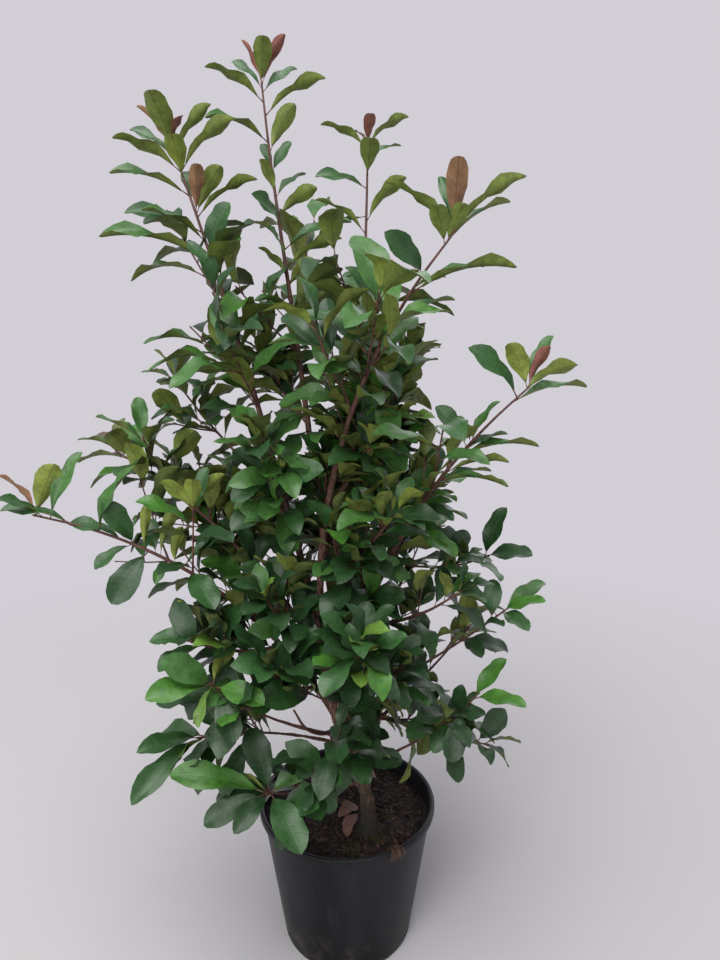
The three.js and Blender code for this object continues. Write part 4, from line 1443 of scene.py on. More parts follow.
def baked(made: Object) -> Mesh:
    """Returns an object's mesh as its modifiers leave it."""
    bpy.context.view_layer.update()
    graph = bpy.context.evaluated_depsgraph_get()
    whole = made.evaluated_get(graph)
    return bpy.data.meshes.new_from_object(whole, preserve_all_data_layers=True, depsgraph=graph)


def dressed(name: str, mesh: Mesh, material: Material) -> Object:
    """Puts a mesh in the scene, smooth shaded and of one material."""
    mesh.materials.clear()
    mesh.materials.append(material)
    mesh.polygons.foreach_set("use_smooth", [True] * len(mesh.polygons))
    return piece(name, mesh)


def compass(sides: int) -> list[Pair]:
    """Returns points evenly round a circle of radius 1."""
    angles = [math.tau * side / sides for side in range(sides)]
    return [(math.cos(angle), math.sin(angle)) for angle in angles]


def rings_of(points: list, sides: int, start: int = 0) -> list[list[int]]:
    """Returns the numbers of the points from start on, in rings of this many."""
    return [list(range(k, k + sides)) for k in range(start, len(points), sides)]


def ring_faces(rings: list[list[int]], inwards: bool = False) -> list[tuple[int, ...]]:
    """Joins rings of points.

    Args:
        rings: each ring's points, which may be the same point again and again.
        inwards: whether the faces run from ring to ring first.

    Returns:
        The faces, ring by ring.
    """
    faces = []
    for low, high in zip(rings, rings[1:]):
        for here, after, beyond, ahead in zip(low, [*low[1:], low[0]], [*high[1:], high[0]], high):
            corners = (here, ahead, beyond, after) if inwards else (here, after, beyond, ahead)
            faces.append(tuple(dict.fromkeys(corners)))
    return faces


def shape_store(name: str, shapes: list[Mesh]) -> Collection:
    """Returns a collection of shapes to be set again and again, outside the scene."""
    store = bpy.data.collections.new(name)
    for mesh in shapes:
        store.objects.link(bpy.data.objects.new(mesh.name, mesh))
    return store


def empty(store: Collection) -> None:
    """Removes a collection's objects."""
    for shape in list(store.objects):
        bpy.data.objects.remove(shape)


def settle(made: Object, slot: str, *nodes: str) -> Object:
    """Attaches a piece to its body, hides the solids that it stands for, and reports it.

    Args:
        made: the piece.
        slot: not used.

    Returns:
        The same piece.
    """
    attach(made, BODY)
    if nodes:
        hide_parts(*nodes)
    LOG.info("%s: %d faces", made.name, len(made.data.polygons))
    return made


class Build(Recipe):
    """A geometry node tree with named inputs, run once on a plain mesh."""

    def __init__(self, name: str) -> None:
        """Starts the tree, with a geometry going in.

        Args:
            name: the tree's name.
        """
        super().__init__(bpy.data.node_groups.new(name, "GeometryNodeTree"))
        for way in ("INPUT", "OUTPUT"):
            self.tree.interface.new_socket("Geometry", in_out=way, socket_type="NodeSocketGeometry")
        self.name = name
        self.start = self.add("NodeGroupInput")
        self.source = self.start.outputs[0]
        self.values: dict[str, object] = {}

    def size(self, name: str, kind: str, value: object) -> Socket:
        """Adds a named input.

        Args:
            name: the input's name.
            kind: its kind, such as Float, Int or Collection.
            value: what it is set to on the modifier.

        Returns:
            The socket that gives its value in the tree.
        """
        kind = f"NodeSocket{kind}"
        item = self.tree.interface.new_socket(name, in_out="INPUT", socket_type=kind)
        self.values[item.identifier] = value
        return self.start.outputs[name]

    def named(self, name: str, kind: str = "FLOAT") -> Socket:
        """Returns an attribute of the geometry."""
        node = self.add("GeometryNodeInputNamedAttribute", {"Name": name}, data_type=kind)
        return node.outputs["Attribute"]

    def noise(self, scale: Triple, detail: float) -> Socket:
        """Returns a cloudy value from -0.5 to 0.5 at each point of the geometry."""
        place = self.vectors("MULTIPLY", self.add("GeometryNodeInputPosition").outputs[0], scale)
        inputs = {"Vector": place, "Scale": 1.0, "Detail": detail}
        return self.maths("SUBTRACT", self.add("ShaderNodeTexNoise", inputs).outputs[0], 0.5)

    def random(self, kind: str, low: object, high: object, seed: int) -> Socket:
        """Adds a random value for each point.

        Args:
            kind: the type of the value.
            low: its least.
            high: its most.
            seed: the number that its draws start from.

        Returns:
            The value.
        """
        node = self.add("FunctionNodeRandomValue", data_type=kind)
        wanted = {"Min": low, "Max": high, "Seed": seed}
        for socket in node.inputs:
            if socket.enabled and socket.name in wanted:
                socket.default_value = wanted[socket.name]
        return next(socket for socket in node.outputs if socket.enabled)

    def equal(self, value: Socket, number: int) -> Socket:
        """Says where a whole number has this value."""
        node = self.add("FunctionNodeCompare", data_type="INT", operation="EQUAL")
        first, second = (socket for socket in node.inputs if socket.type == "INT")
        self.feed(first, value)
        self.feed(second, number)
        return node.outputs["Result"]

    def rotation(self, angles: Socket) -> Socket:
        """Returns angles about the axes as a rotation."""
        return self.add("FunctionNodeEulerToRotation", {0: angles}).outputs[0]

    def instances(self, points: Socket, store: Collection, inputs: dict) -> Socket:
        """Sets shapes at points.

        Args:
            points: the points.
            store: the shapes.
            inputs: how they are turned, sized and picked.

        Returns:
            The socket with the shapes in their places.
        """
        shapes = self.size("Shapes", "Collection", store)
        info = {"Collection": shapes, "Separate Children": True, "Reset Children": True}
        shape = self.add("GeometryNodeCollectionInfo", info).outputs[0]
        placed = {"Points": points, "Instance": shape, "Pick Instance": True, **inputs}
        return self.add("GeometryNodeInstanceOnPoints", placed).outputs[0]

    def finish(self, mesh: Mesh, shape: Socket, dress: dict) -> Object:
        """Ends the tree, runs it and returns the piece.

        Args:
            mesh: the plain mesh that goes in.
            shape: the socket with the shape.
            dress: for each number of the attribute side, its material, or None and one material.

        Returns:
            A plain mesh piece, smooth shaded.
        """
        whole = self.add("GeometryNodeRealizeInstances", {0: shape}).outputs[0]
        whole = self.add("GeometryNodeSetShadeSmooth", {0: whole}).outputs[0]
        for number, material in dress.items():
            inputs = {"Geometry": whole, "Material": material}
            if number is not None:
                inputs["Selection"] = self.equal(self.named("side", "INT"), int(number))
            whole = self.add("GeometryNodeSetMaterial", inputs).outputs[0]
        self.add("NodeGroupOutput", {0: whole})
        seed = piece(f"{self.name}_seed", mesh)
        modifier = seed.modifiers.new("build", "NODES")
        modifier.node_group = self.tree
        for identifier, value in self.values.items():
            modifier[identifier] = value
        built = baked(seed)
        seed.modifiers.remove(modifier)
        bpy.data.objects.remove(seed)
        return piece(self.name, built)


# ---- wood


@dataclass
class Timber:
    """The trunk, the stems and boughs, the twigs and a tuft of root fibres, as they are drawn.

    Lengths are in millimetres, but for the limbs' relief and lumps, which are in metres. bud
    holds how far each ring of a bud is ahead of its twig, and its share of the twig's radius.
    """

    plant: Plant
    finish: BarkFinish = BarkFinish()
    trunk_sides: int = 64
    trunk_rings: int = 90
    trunk_buried: float = 10
    trunk_rounding: int = 4
    dome: float = 9
    dome_least: float = 0.02
    ribs: Pair = (0.13, 0.07)
    ridge_scale: Triple = (0.32, 0.32, 0.07)
    ridge_depth: float = 1.1
    lump_scale: float = 0.09
    lump_depth: float = 1.6
    limb_sides: int = 18
    relief: float = 0.0016
    relief_noise: tuple[Triple, float] = ((420, 420, 95), 3)
    lumps: float = 0.0022
    lumps_noise: tuple[Triple, float] = ((75, 75, 60), 1)
    shoot_rounding: int = 6
    shoot_ages: Pair = (0.42, 0.95)
    leader_ages: Pair = (0.5, 0.95)
    twig_sides: int = 6
    twig_rounding: int = 3
    twig_taper: float = 0.72
    twig_collar: float = 1.35
    twig_ages: Pair = (0.72, 1.0)
    tip: float = 1.5
    bud: Outline = ((1.5, 1.35), (3.2, 1.215), (6.5, 0.25))
    fibres_at: float = -58
    fibre_count: int = 18
    fibre_seed: int = 4180
    fibre_radius: float = 0.5
    fibre_sides: int = 4
    fibre_rounding: int = 5
    fibre_spread: float = 6
    fibre_slant: float = 5
    fibre_fall: float = 8
    fibre_hump: float = 6
    fibre_out: float = 5
    fibre_age: Pair = (0.05, 0.5)
    fibre_path: Outline = ((136, 247), (150, 262), (161, 269.5), (166, 264), (167, 262))
    root: EarthFinish = EarthFinish("root_fibre", (0.022, 0.012, 0.009), (0.130, 0.068, 0.040), 120)

    def __post_init__(self) -> None:
        """Makes the bark, which all the wood shares."""
        self.bark = self.finish.material()

    def trunk_radius(self, height: float, angle: float) -> float:
        """Works out the trunk's radius, with a ridged flare at its foot.

        Args:
            height: the height above the soil.
            angle: the angle round it.

        Returns:
            The radius.
        """
        plant = self.plant
        fall = math.exp(-max(height, 0) / plant.flare_fall)
        wide, narrow = self.ribs
        ridges = 1 + (wide * math.cos(4 * angle) + narrow * math.sin(7 * angle + 1)) * fall
        share = height / plant.trunk_length
        return (lerp(plant.trunk_foot, plant.trunk_fork, share) + plant.flare * fall) * ridges

    def roughness(self, spot: Vector) -> float:
        """Returns how far the trunk's bark stands out at a place."""
        grain = Vector([place * scale for place, scale in zip(spot, self.ridge_scale)])
        ridges = noise.noise(grain) * self.ridge_depth
        return ridges + noise.noise(spot * self.lump_scale) * self.lump_depth

    def trunk(self) -> Object:
        """Makes the trunk, which goes a little way into the soil and has a domed top.

        Returns:
            The trunk.
        """
        path = smooth(self.plant.paths["trunk"], self.trunk_rounding)
        foot = path[0] - UP * self.trunk_buried
        length, points = self.plant.trunk_length, []
        for ring in range(self.trunk_rings + 1):
            height = lerp(-self.trunk_buried, length, ring / self.trunk_rings)
            if height > 0:
                centre, _ = point_at(path, height / length)
            else:
                centre = foot.lerp(path[0], 1 + height / self.trunk_buried)
            over = max(0.0, (height - length + self.dome) / self.dome)
            dome = max(math.sqrt(max(0.0, 1 - over**2)), self.dome_least)
            for side in range(self.trunk_sides):
                angle = math.tau * side / self.trunk_sides
                out = Vector((math.cos(angle), math.sin(angle), 0))
                radius = self.trunk_radius(height, angle)
                rough = self.roughness(centre + out * radius)
                points.append((centre + out * ((radius + rough) * dome)) * MM)
        rings = rings_of(points, self.trunk_sides)
        faces = [tuple(reversed(rings[0])), tuple(rings[-1]), *ring_faces(rings)]
        mesh = plain_mesh("trunk_bark", points, faces)
        attribute(mesh, "age", "FLOAT", "POINT", [0.0] * len(points))
        return settle(dressed("trunk_bark", mesh, self.bark), "bark", "trunk")

    def lines(self, name: str, woods: list[Wood]) -> Mesh:
        """Makes the middle lines of wood, with its radii and ages.

        Args:
            name: the mesh's name.
            woods: the limbs, twigs or fibres.

        Returns:
            A mesh of edges.
        """
        points, edges, radii, ages = [], [], [], []
        for wood in woods:
            edges += [(len(points) + k, len(points) + k + 1) for k in range(len(wood.points) - 1)]
            points += [point * MM for point in wood.points]
            radii += [radius * MM for radius in wood.radii]
            ages += wood.ages
        mesh = plain_mesh(name, points, [], edges)
        attribute(mesh, "radius", "FLOAT", "POINT", radii)
        attribute(mesh, "age", "FLOAT", "POINT", ages)
        return mesh

    def roughened(self, build: Build, skin: Socket) -> Socket:
        """Gives bark its relief.

        Args:
            build: the tree that is being built.
            skin: the smooth bark.

        Returns:
            The rough bark.
        """
        relief = build.size("Relief", "Float", self.relief)
        lumps = build.size("Lumps", "Float", self.lumps)
        fine = build.maths("MULTIPLY", build.noise(*self.relief_noise), relief)
        coarse = build.maths("MULTIPLY", build.noise(*self.lumps_noise), lumps)
        normal = build.add("GeometryNodeInputNormal").outputs[0]
        inputs = {0: normal, "Scale": build.maths("ADD", fine, coarse)}
        move = build.add("ShaderNodeVectorMath", inputs, operation="SCALE").outputs[0]
        return build.add("GeometryNodeSetPosition", {0: skin, "Offset": move}).outputs[0]

    def tubes(
        self, name: str, woods: list[Wood], sides: int, material: Material, rough: bool = False
    ) -> Object:
        """Draws wood as tubes along its middle lines.

        Args:
            name: the piece's name.
            woods: the wood.
            sides: how many sides a tube has.
            material: its material.
            rough: whether it has relief.

        Returns:
            The piece.
        """
        build = Build(name)
        circle = {"Resolution": build.size("Sides", "Int", sides), "Radius": 1.0}
        inputs = {
            "Curve": build.add("GeometryNodeMeshToCurve", {0: build.source}).outputs[0],
            "Profile Curve": build.add("GeometryNodeCurvePrimitiveCircle", circle).outputs[0],
            "Scale": build.named("radius"),
            "Fill Caps": True,
        }
        skin = build.add("GeometryNodeCurveToMesh", inputs).outputs[0]
        if rough:
            skin = self.roughened(build, skin)
        return build.finish(self.lines(name, woods), skin, {None: material})

    def limbs(self) -> Object:
        """Returns the stems and boughs, with their bark's relief."""
        woods = list(self.plant.limbs.values())
        made = self.tubes("limbs_bark", woods, self.limb_sides, self.bark, rough=True)
        return settle(made, "bark", *LIMBS)

    def shoot_wood(self, shoot: Shoot) -> list[Wood]:
        """Makes a shoot and its twigs, each with a bud at its tip.

        Args:
            shoot: the shoot.

        Returns:
            Their wood.
        """
        points = smooth(shoot.points, self.shoot_rounding)
        ages = self.leader_ages if shoot.row.at is None else self.shoot_ages
        woods = [self.budded(points, (shoot.foot, self.tip), ages)]
        for twig in shoot.twigs:
            points = smooth(twig.points, self.twig_rounding)
            radii = (twig.radius, self.twig_taper * twig.radius)
            woods.append(self.budded(points, radii, self.twig_ages, self.twig_collar))
        return woods

    def budded(self, points: Path, radii: Pair, ages: Pair, collar: float = 1) -> Wood:
        """Ends a twig in a small pointed bud.

        Args:
            points: the twig's path.
            radii: its radius at its foot and at its tip.
            ages: its age there.
            collar: how much wider its very foot is.

        Returns:
            The twig with its bud.
        """
        shares = [k / (len(points) - 1) for k in range(len(points))]
        wide = [lerp(*radii, share) * (1 if share else collar) for share in shares]
        old = [lerp(*ages, share) for share in shares]
        way = (points[-1] - points[-2]).normalized()
        tips = [points[-1] + way * ahead for ahead, _ in self.bud]
        ends = [wide[-1] * share for _, share in self.bud]
        return Wood([*points, *tips], [*wide, *ends], [*old, *(1.0 for _ in tips)])

    def twigs(self) -> Object:
        """Returns every shoot and twig in one piece."""
        woods = [wood for shoot in self.plant.shoots for wood in self.shoot_wood(shoot)]
        made = self.tubes("twigs", woods, self.twig_sides, self.bark)
        return settle(made, "bark", *FOLIAGE_NODES)

    def fibre(self, draw: Draw) -> Wood:
        """Makes one fibre, which comes out of the soil and hangs over the pot's rim.

        Args:
            draw: gives random numbers.

        Returns:
            The fibre.
        """
        angle = math.radians(self.fibres_at + self.fibre_spread * (draw() - 0.5))
        slant = math.radians(self.fibre_slant) * (draw() - 0.5)
        fall, hump = self.fibre_fall * (0.5 + draw()), self.fibre_hump * draw()
        moves = ((0, 0), (0, hump), (0, 0), (0, 0), (self.fibre_out * draw(), -fall))
        path = []
        for n, ((out, height), (farther, higher)) in enumerate(zip(self.fibre_path, moves)):
            turn, reach = angle + slant * n / 2, out + farther
            path.append(Vector((reach * math.cos(turn), reach * math.sin(turn), height + higher)))
        bent = smooth(path, self.fibre_rounding)
        low, span = self.fibre_age
        return Wood(bent, [self.fibre_radius] * len(bent), [low + span * draw()] * len(bent))

    def fibres(self) -> Object:
        """Returns the tuft of fine root fibres that hangs over the pot's rim."""
        woods = [self.fibre(stream(self.fibre_seed + k)) for k in range(self.fibre_count)]
        made = self.tubes("root_fibres", woods, self.fibre_sides, self.root.material())
        return settle(made, "litter")


# ---- leaves


# Outlines of a leaf: shares of its length, and of its width there.
BLUNT = (
    (0.12, 0.20, 0.31, 0.44, 0.57, 0.70, 0.82, 0.91, 0.97, 1.0),
    (0.05, 0.27, 0.56, 0.81, 0.96, 1.0, 0.91, 0.70, 0.41, 0.0),
)
KEEN = (
    (0.14, 0.22, 0.33, 0.45, 0.57, 0.69, 0.80, 0.89, 0.96, 1.0),
    (0.05, 0.34, 0.67, 0.89, 0.99, 1.0, 0.88, 0.62, 0.30, 0.0),
)


@dataclass
class Shell:
    """A leaf's mesh while it is made: its points, their places on its map, and its faces."""

    points: Path = field(default_factory=list)
    spots: list[Pair] = field(default_factory=list)
    faces: list[tuple[int, ...]] = field(default_factory=list)
    sides: list[Side] = field(default_factory=list)

    def point(self, point: Vector, spot: Pair) -> int:
        """Adds a point and returns its number."""
        self.points.append(point)
        self.spots.append(spot)
        return len(self.points) - 1

    def face(self, corners: tuple[int, ...], side: Side) -> None:
        """Adds a face of one side of the leaf."""
        self.faces.append(corners)
        self.sides.append(side)


@dataclass(frozen=True)
class LeafShape:
    """One leaf of unit length along +Y and unit width along X, as a thin closed shell."""

    arch: float
    twist: float
    wave: float
    phase: float
    rows: tuple[float, ...]
    widths: tuple[float, ...]
    columns: tuple[float, ...] = (-1, -0.52, 0, 0.52, 1)
    fold: float = 0.085
    ragged: float = 0.026
    bow: float = 0.035
    waves: float = 1.6
    wave_lag: float = 1.7
    twist_from: float = 0.13
    thick: float = 0.010
    thick_rib: float = 1.6
    thin_blade: float = 0.9
    stalk: float = 0.0105
    stalk_rows: tuple[float, ...] = (0.0, 0.08, 0.17)
    stalk_foot: float = 1.25
    stalk_drop: float = 0.005
    slim: float = 0.4

    def spot(self, row: int, column: float, drop: float) -> Vector:
        """Finds a point of the blade.

        Args:
            row: the row along the leaf.
            column: the place across it, from -1 to 1.
            drop: how far below the upper face it lies.

        Returns:
            The point.
        """
        share, half = self.rows[row], self.widths[row] / 2
        half *= 1 + self.ragged * (-1) ** (row + (column > 0))
        out = abs(column) * self.widths[row]
        lag = self.phase + (0 if column < 0 else self.wave_lag)
        ripple = self.wave * math.sin(math.tau * self.waves * share + lag) * out * out
        high = self.fold * out - self.bow * out * out + ripple - drop
        turn, flat = self.twist * (share - self.twist_from), column * half * self.slim
        x = flat * math.cos(turn) - high * math.sin(turn)
        z = flat * math.sin(turn) + high * math.cos(turn)
        return Vector((x / self.slim, share, arched(self.arch, share) + z))

    def mesh(self, name: str) -> Mesh:
        """Makes the leaf with its map, the side of each face and sharp margins.

        Args:
            name: the mesh's name.

        Returns:
            The leaf, one unit long.
        """
        shell = Shell()
        upper, under = [], []
        last = len(self.rows) - 1
        for row, share in enumerate(self.rows[:-1]):
            edge = self.widths[row] / 2
            for lines, depth in ((upper, 0), (under, self.thick)):
                line = []
                for column in self.columns:
                    if lines is under and abs(column) == 1:
                        line.append(upper[row][0 if column < 0 else -1])
                        continue
                    drop = depth * (self.thin_blade if column else self.thick_rib)
                    line.append(shell.point(self.spot(row, column, drop), (0.5 + column * edge, share)))
                lines.append(line)
        tip = shell.point(self.spot(last, 0, 0), (0.5, 1.0))
        for row in range(last):
            for lines, side in ((upper, Side.UPPER), (under, Side.UNDER)):
                for k in range(len(lines[row]) - 1):
                    a, b = lines[row][k], lines[row][k + 1]
                    ahead = (tip,) if row == last - 1 else (lines[row + 1][k + 1], lines[row + 1][k])
                    loop = (b, *ahead)
                    shell.face((a, *(loop if side is Side.UPPER else reversed(loop))), side)
        shell.face(tuple(reversed([*upper[0], *reversed(under[0][1:-1])])), Side.UNDER)
        self.add_stalk(shell)
        mesh = plain_mesh(name, shell.points, shell.faces)
        attribute(mesh, "side", "INT", "FACE", [int(side) for side in shell.sides])
        uv = mesh.uv_layers.new(name="leaf_map")
        for loop in mesh.loops:
            uv.data[loop.index].uv = shell.spots[loop.vertex_index]
        margin = {line[end] for line in upper for end in (0, -1)} | {tip}
        for edge in mesh.edges:
            edge.use_edge_sharp = all(vertex in margin for vertex in edge.vertices)
        return mesh

    def add_stalk(self, shell: Shell) -> None:
        """Adds the leaf's three-sided stalk.

        Args:
            shell: the shell that it is added to.
        """
        rings = []
        for share in self.stalk_rows:
            wide = self.stalk * (self.stalk_foot if share == 0 else 1)
            middle, ring = arched(self.arch, share) - self.stalk_drop, []
            for degrees in (90, 210, 330):
                angle = math.radians(degrees)
                x, z = wide * math.cos(angle) / self.slim, middle + wide * math.sin(angle)
                ring.append(shell.point(Vector((x, share, z)), (0.5, share)))
            rings.append(ring)
        for low, high in zip(rings, rings[1:]):
            for corner in range(3):
                after = (corner + 1) % 3
                shell.face((low[after], low[corner], high[corner], high[after]), Side.STALK)
        shell.face(tuple(rings[0]), Side.STALK)
        shell.face(tuple(reversed(rings[-1])), Side.STALK)


@dataclass
class Foliage:
    """All the leaves, one piece for each tint."""

    plant: Plant
    shapes: tuple[LeafShape, ...] = (
        LeafShape(0.06, 0.25, 0.05, 0.4, *BLUNT),
        LeafShape(0.10, -0.35, 0.08, 2.1, *BLUNT),
        LeafShape(0.14, 0.15, 0.06, 3.9, *BLUNT),
        LeafShape(0.18, 0.45, 0.08, 1.2, *KEEN),
        LeafShape(0.23, -0.20, 0.06, 5.1, *KEEN),
        LeafShape(0.29, 0.30, 0.07, 0.9, *KEEN),
    )

    def build(self) -> list[Object]:
        """Makes the leaf shapes, and the leaves of each tint from them.

        Returns:
            The leaves, joined by tint.
        """
        meshes = [shape.mesh(f"leaf_shape_{number}") for number, shape in enumerate(self.shapes)]
        store = shape_store("leaf_shapes", meshes)
        made = []
        for tint in Tint:
            nodes = () if tint is DRY else FOLIAGE_NODES
            made.append(settle(self.joined(tint, store), tint.value.slot, *nodes))
        empty(store)
        return made

    def joined(self, tint: Tint, store: Collection) -> Object:
        """Sets a leaf shape at the place of each leaf of a tint, and joins them.

        Args:
            tint: the tint.
            store: the leaf shapes.

        Returns:
            The piece.
        """
        leaves = [leaf for leaf in self.plant.leaves if leaf.tint is tint]
        name = tint.value.name.replace("leaf", "leaves")
        arches = np.array([shape.arch for shape in self.shapes])
        turns, sizes, picks = [], [], []
        for leaf in leaves:
            axes = Matrix((leaf.heading.cross(leaf.face), leaf.heading, leaf.face)).transposed()
            turns.append(axes.to_euler()[:])
            sizes.append((leaf.width * MM, leaf.length * MM, leaf.length * MM))
            picks.append(int(np.abs(arches - leaf.arch).argmin()))
        mesh = plain_mesh(name, [leaf.root * MM for leaf in leaves], [])
        attribute(mesh, "turn", "FLOAT_VECTOR", "POINT", turns)
        attribute(mesh, "size", "FLOAT_VECTOR", "POINT", sizes)
        attribute(mesh, "shape", "INT", "POINT", picks)
        build = Build(name)
        inputs = {
            "Instance Index": build.named("shape", "INT"),
            "Rotation": build.rotation(build.named("turn", "FLOAT_VECTOR")),
            "Scale": build.named("size", "FLOAT_VECTOR"),
        }
        cloud = build.instances(build.source, store, inputs)
        return build.finish(mesh, cloud, {side: tint.value.face(side) for side in Side})


# ---- pot and soil


@dataclass
class NurseryPot:
    """A thin tapering pot with a rolled lip and drain openings round its foot, in millimetres."""

    height: float = 268
    rim: float = 163
    base: float = 120
    wall: float = 3
    lip: float = 13
    lip_width: float = 5
    sides: int = 160
    holes: int = 8
    hole_width: float = 24
    hole_height: float = 11
    hole_sill: float = 3
    underside: float = 1.2
    foot_bevel: float = 12
    foot_round: Outline = ((-9, 0), (-3, 0), (-1.1, 0.5), (-0.2, 1.8))
    wall_rows: tuple[float, ...] = (4, 9, 16, 60, 120, 180, 225, 246)
    lip_start: Outline = ((0.2, -1.2), (1.4, 0))
    lip_round: Outline = ((-1.6, 0), (-0.4, 0.6), (0, 2))
    top_round: Outline = ((0, -3.4), (-0.6, -1.4), (-2, -0.3), (-3.6, 0))
    brim_round: Outline = ((-1, -0.4), (-3, -2))
    inner_rows: tuple[float, ...] = (200, 120, 40, 9)
    sharp: float = 32
    finish: PlasticFinish = PlasticFinish()

    def outside(self, height: float) -> float:
        """Returns the outside radius of the wall at a height."""
        return lerp(self.base, self.rim - self.lip_width, height / self.height)

    def inside(self, height: float) -> float:
        """Returns the inside radius of the wall at a height."""
        return self.outside(height) - self.wall

    def profile(self) -> Outline:
        """Draws the turned outline.

        Returns:
            Its corners, from the underside's middle round to the inside floor.
        """
        rim, base, top, lip = self.rim, self.base, self.height, self.height - self.lip
        edge, brim = self.outside(lip), self.outside(top)
        return (
            *((0, self.underside), (base - self.foot_bevel, self.underside)),
            *((base + x, z) for x, z in self.foot_round),
            *((self.outside(z), z) for z in self.wall_rows),
            *((edge + x, lip + z) for x, z in self.lip_start),
            *((rim + x, lip + z) for x, z in self.lip_round),
            *((rim + x, top + z) for x, z in self.top_round),
            *((brim + x, top + z) for x, z in self.brim_round),
            *((self.inside(z), z) for z in (lip, *self.inner_rows, self.wall)),
            (0, self.wall),
        )

    def body(self) -> Object:
        """Turns the outline.

        Returns:
            The pot without its openings.
        """
        points, rings = [], []
        for radius, height in self.profile():
            ring = [(radius * MM * x, radius * MM * y, height * MM) for x, y in compass(self.sides)]
            if radius == 0:
                ring = ring[:1]
            rings.append([len(points) + k % len(ring) for k in range(self.sides)])
            points += ring
        return piece("nursery_pot", plain_mesh("nursery_pot", points, ring_faces(rings)))

    def cutter(self) -> Object:
        """Makes the blocks that cut the drain openings.

        Returns:
            The blocks, as one object.
        """
        form = bmesh.new()
        middle = self.outside(self.hole_height) - self.wall / 2
        rise = self.hole_sill + self.hole_height / 2
        size = Matrix.Diagonal((4 * self.wall * MM, self.hole_width * MM, self.hole_height * MM, 1))
        for k in range(self.holes):
            turn = Matrix.Rotation(math.tau * (k + 0.5) / self.holes, 4, "Z")
            place = turn @ Matrix.Translation((middle * MM, 0, rise * MM))
            bmesh.ops.create_cube(form, size=1, matrix=place @ size)
        return piece("cutter", formed("cutter", form))

    def build(self) -> Object:
        """Makes the pot and cuts its openings.

        Returns:
            The pot.
        """
        body, cutter = self.body(), self.cutter()
        cut = body.modifiers.new("openings", "BOOLEAN")
        cut.object, cut.operation, cut.solver = cutter, "DIFFERENCE", "EXACT"
        mesh = baked(body)
        bpy.data.objects.remove(cutter)
        bpy.data.objects.remove(body)
        made = dressed("nursery_pot", mesh, self.finish.material())
        mesh.set_sharp_from_angle(angle=math.radians(self.sharp))
        return settle(made, "pot", "pot")


@dataclass(frozen=True)
class Litter:
    """Chips that are scattered on the soil.

    sizes holds the chips' lengths, widths and thicknesses in millimetres, density is how many
    lie on a square metre, and tilt is the most that one leans from the level, in radians.
    """

    finish: EarthFinish
    sizes: tuple[Triple, ...]
    density: float
    tilt: float


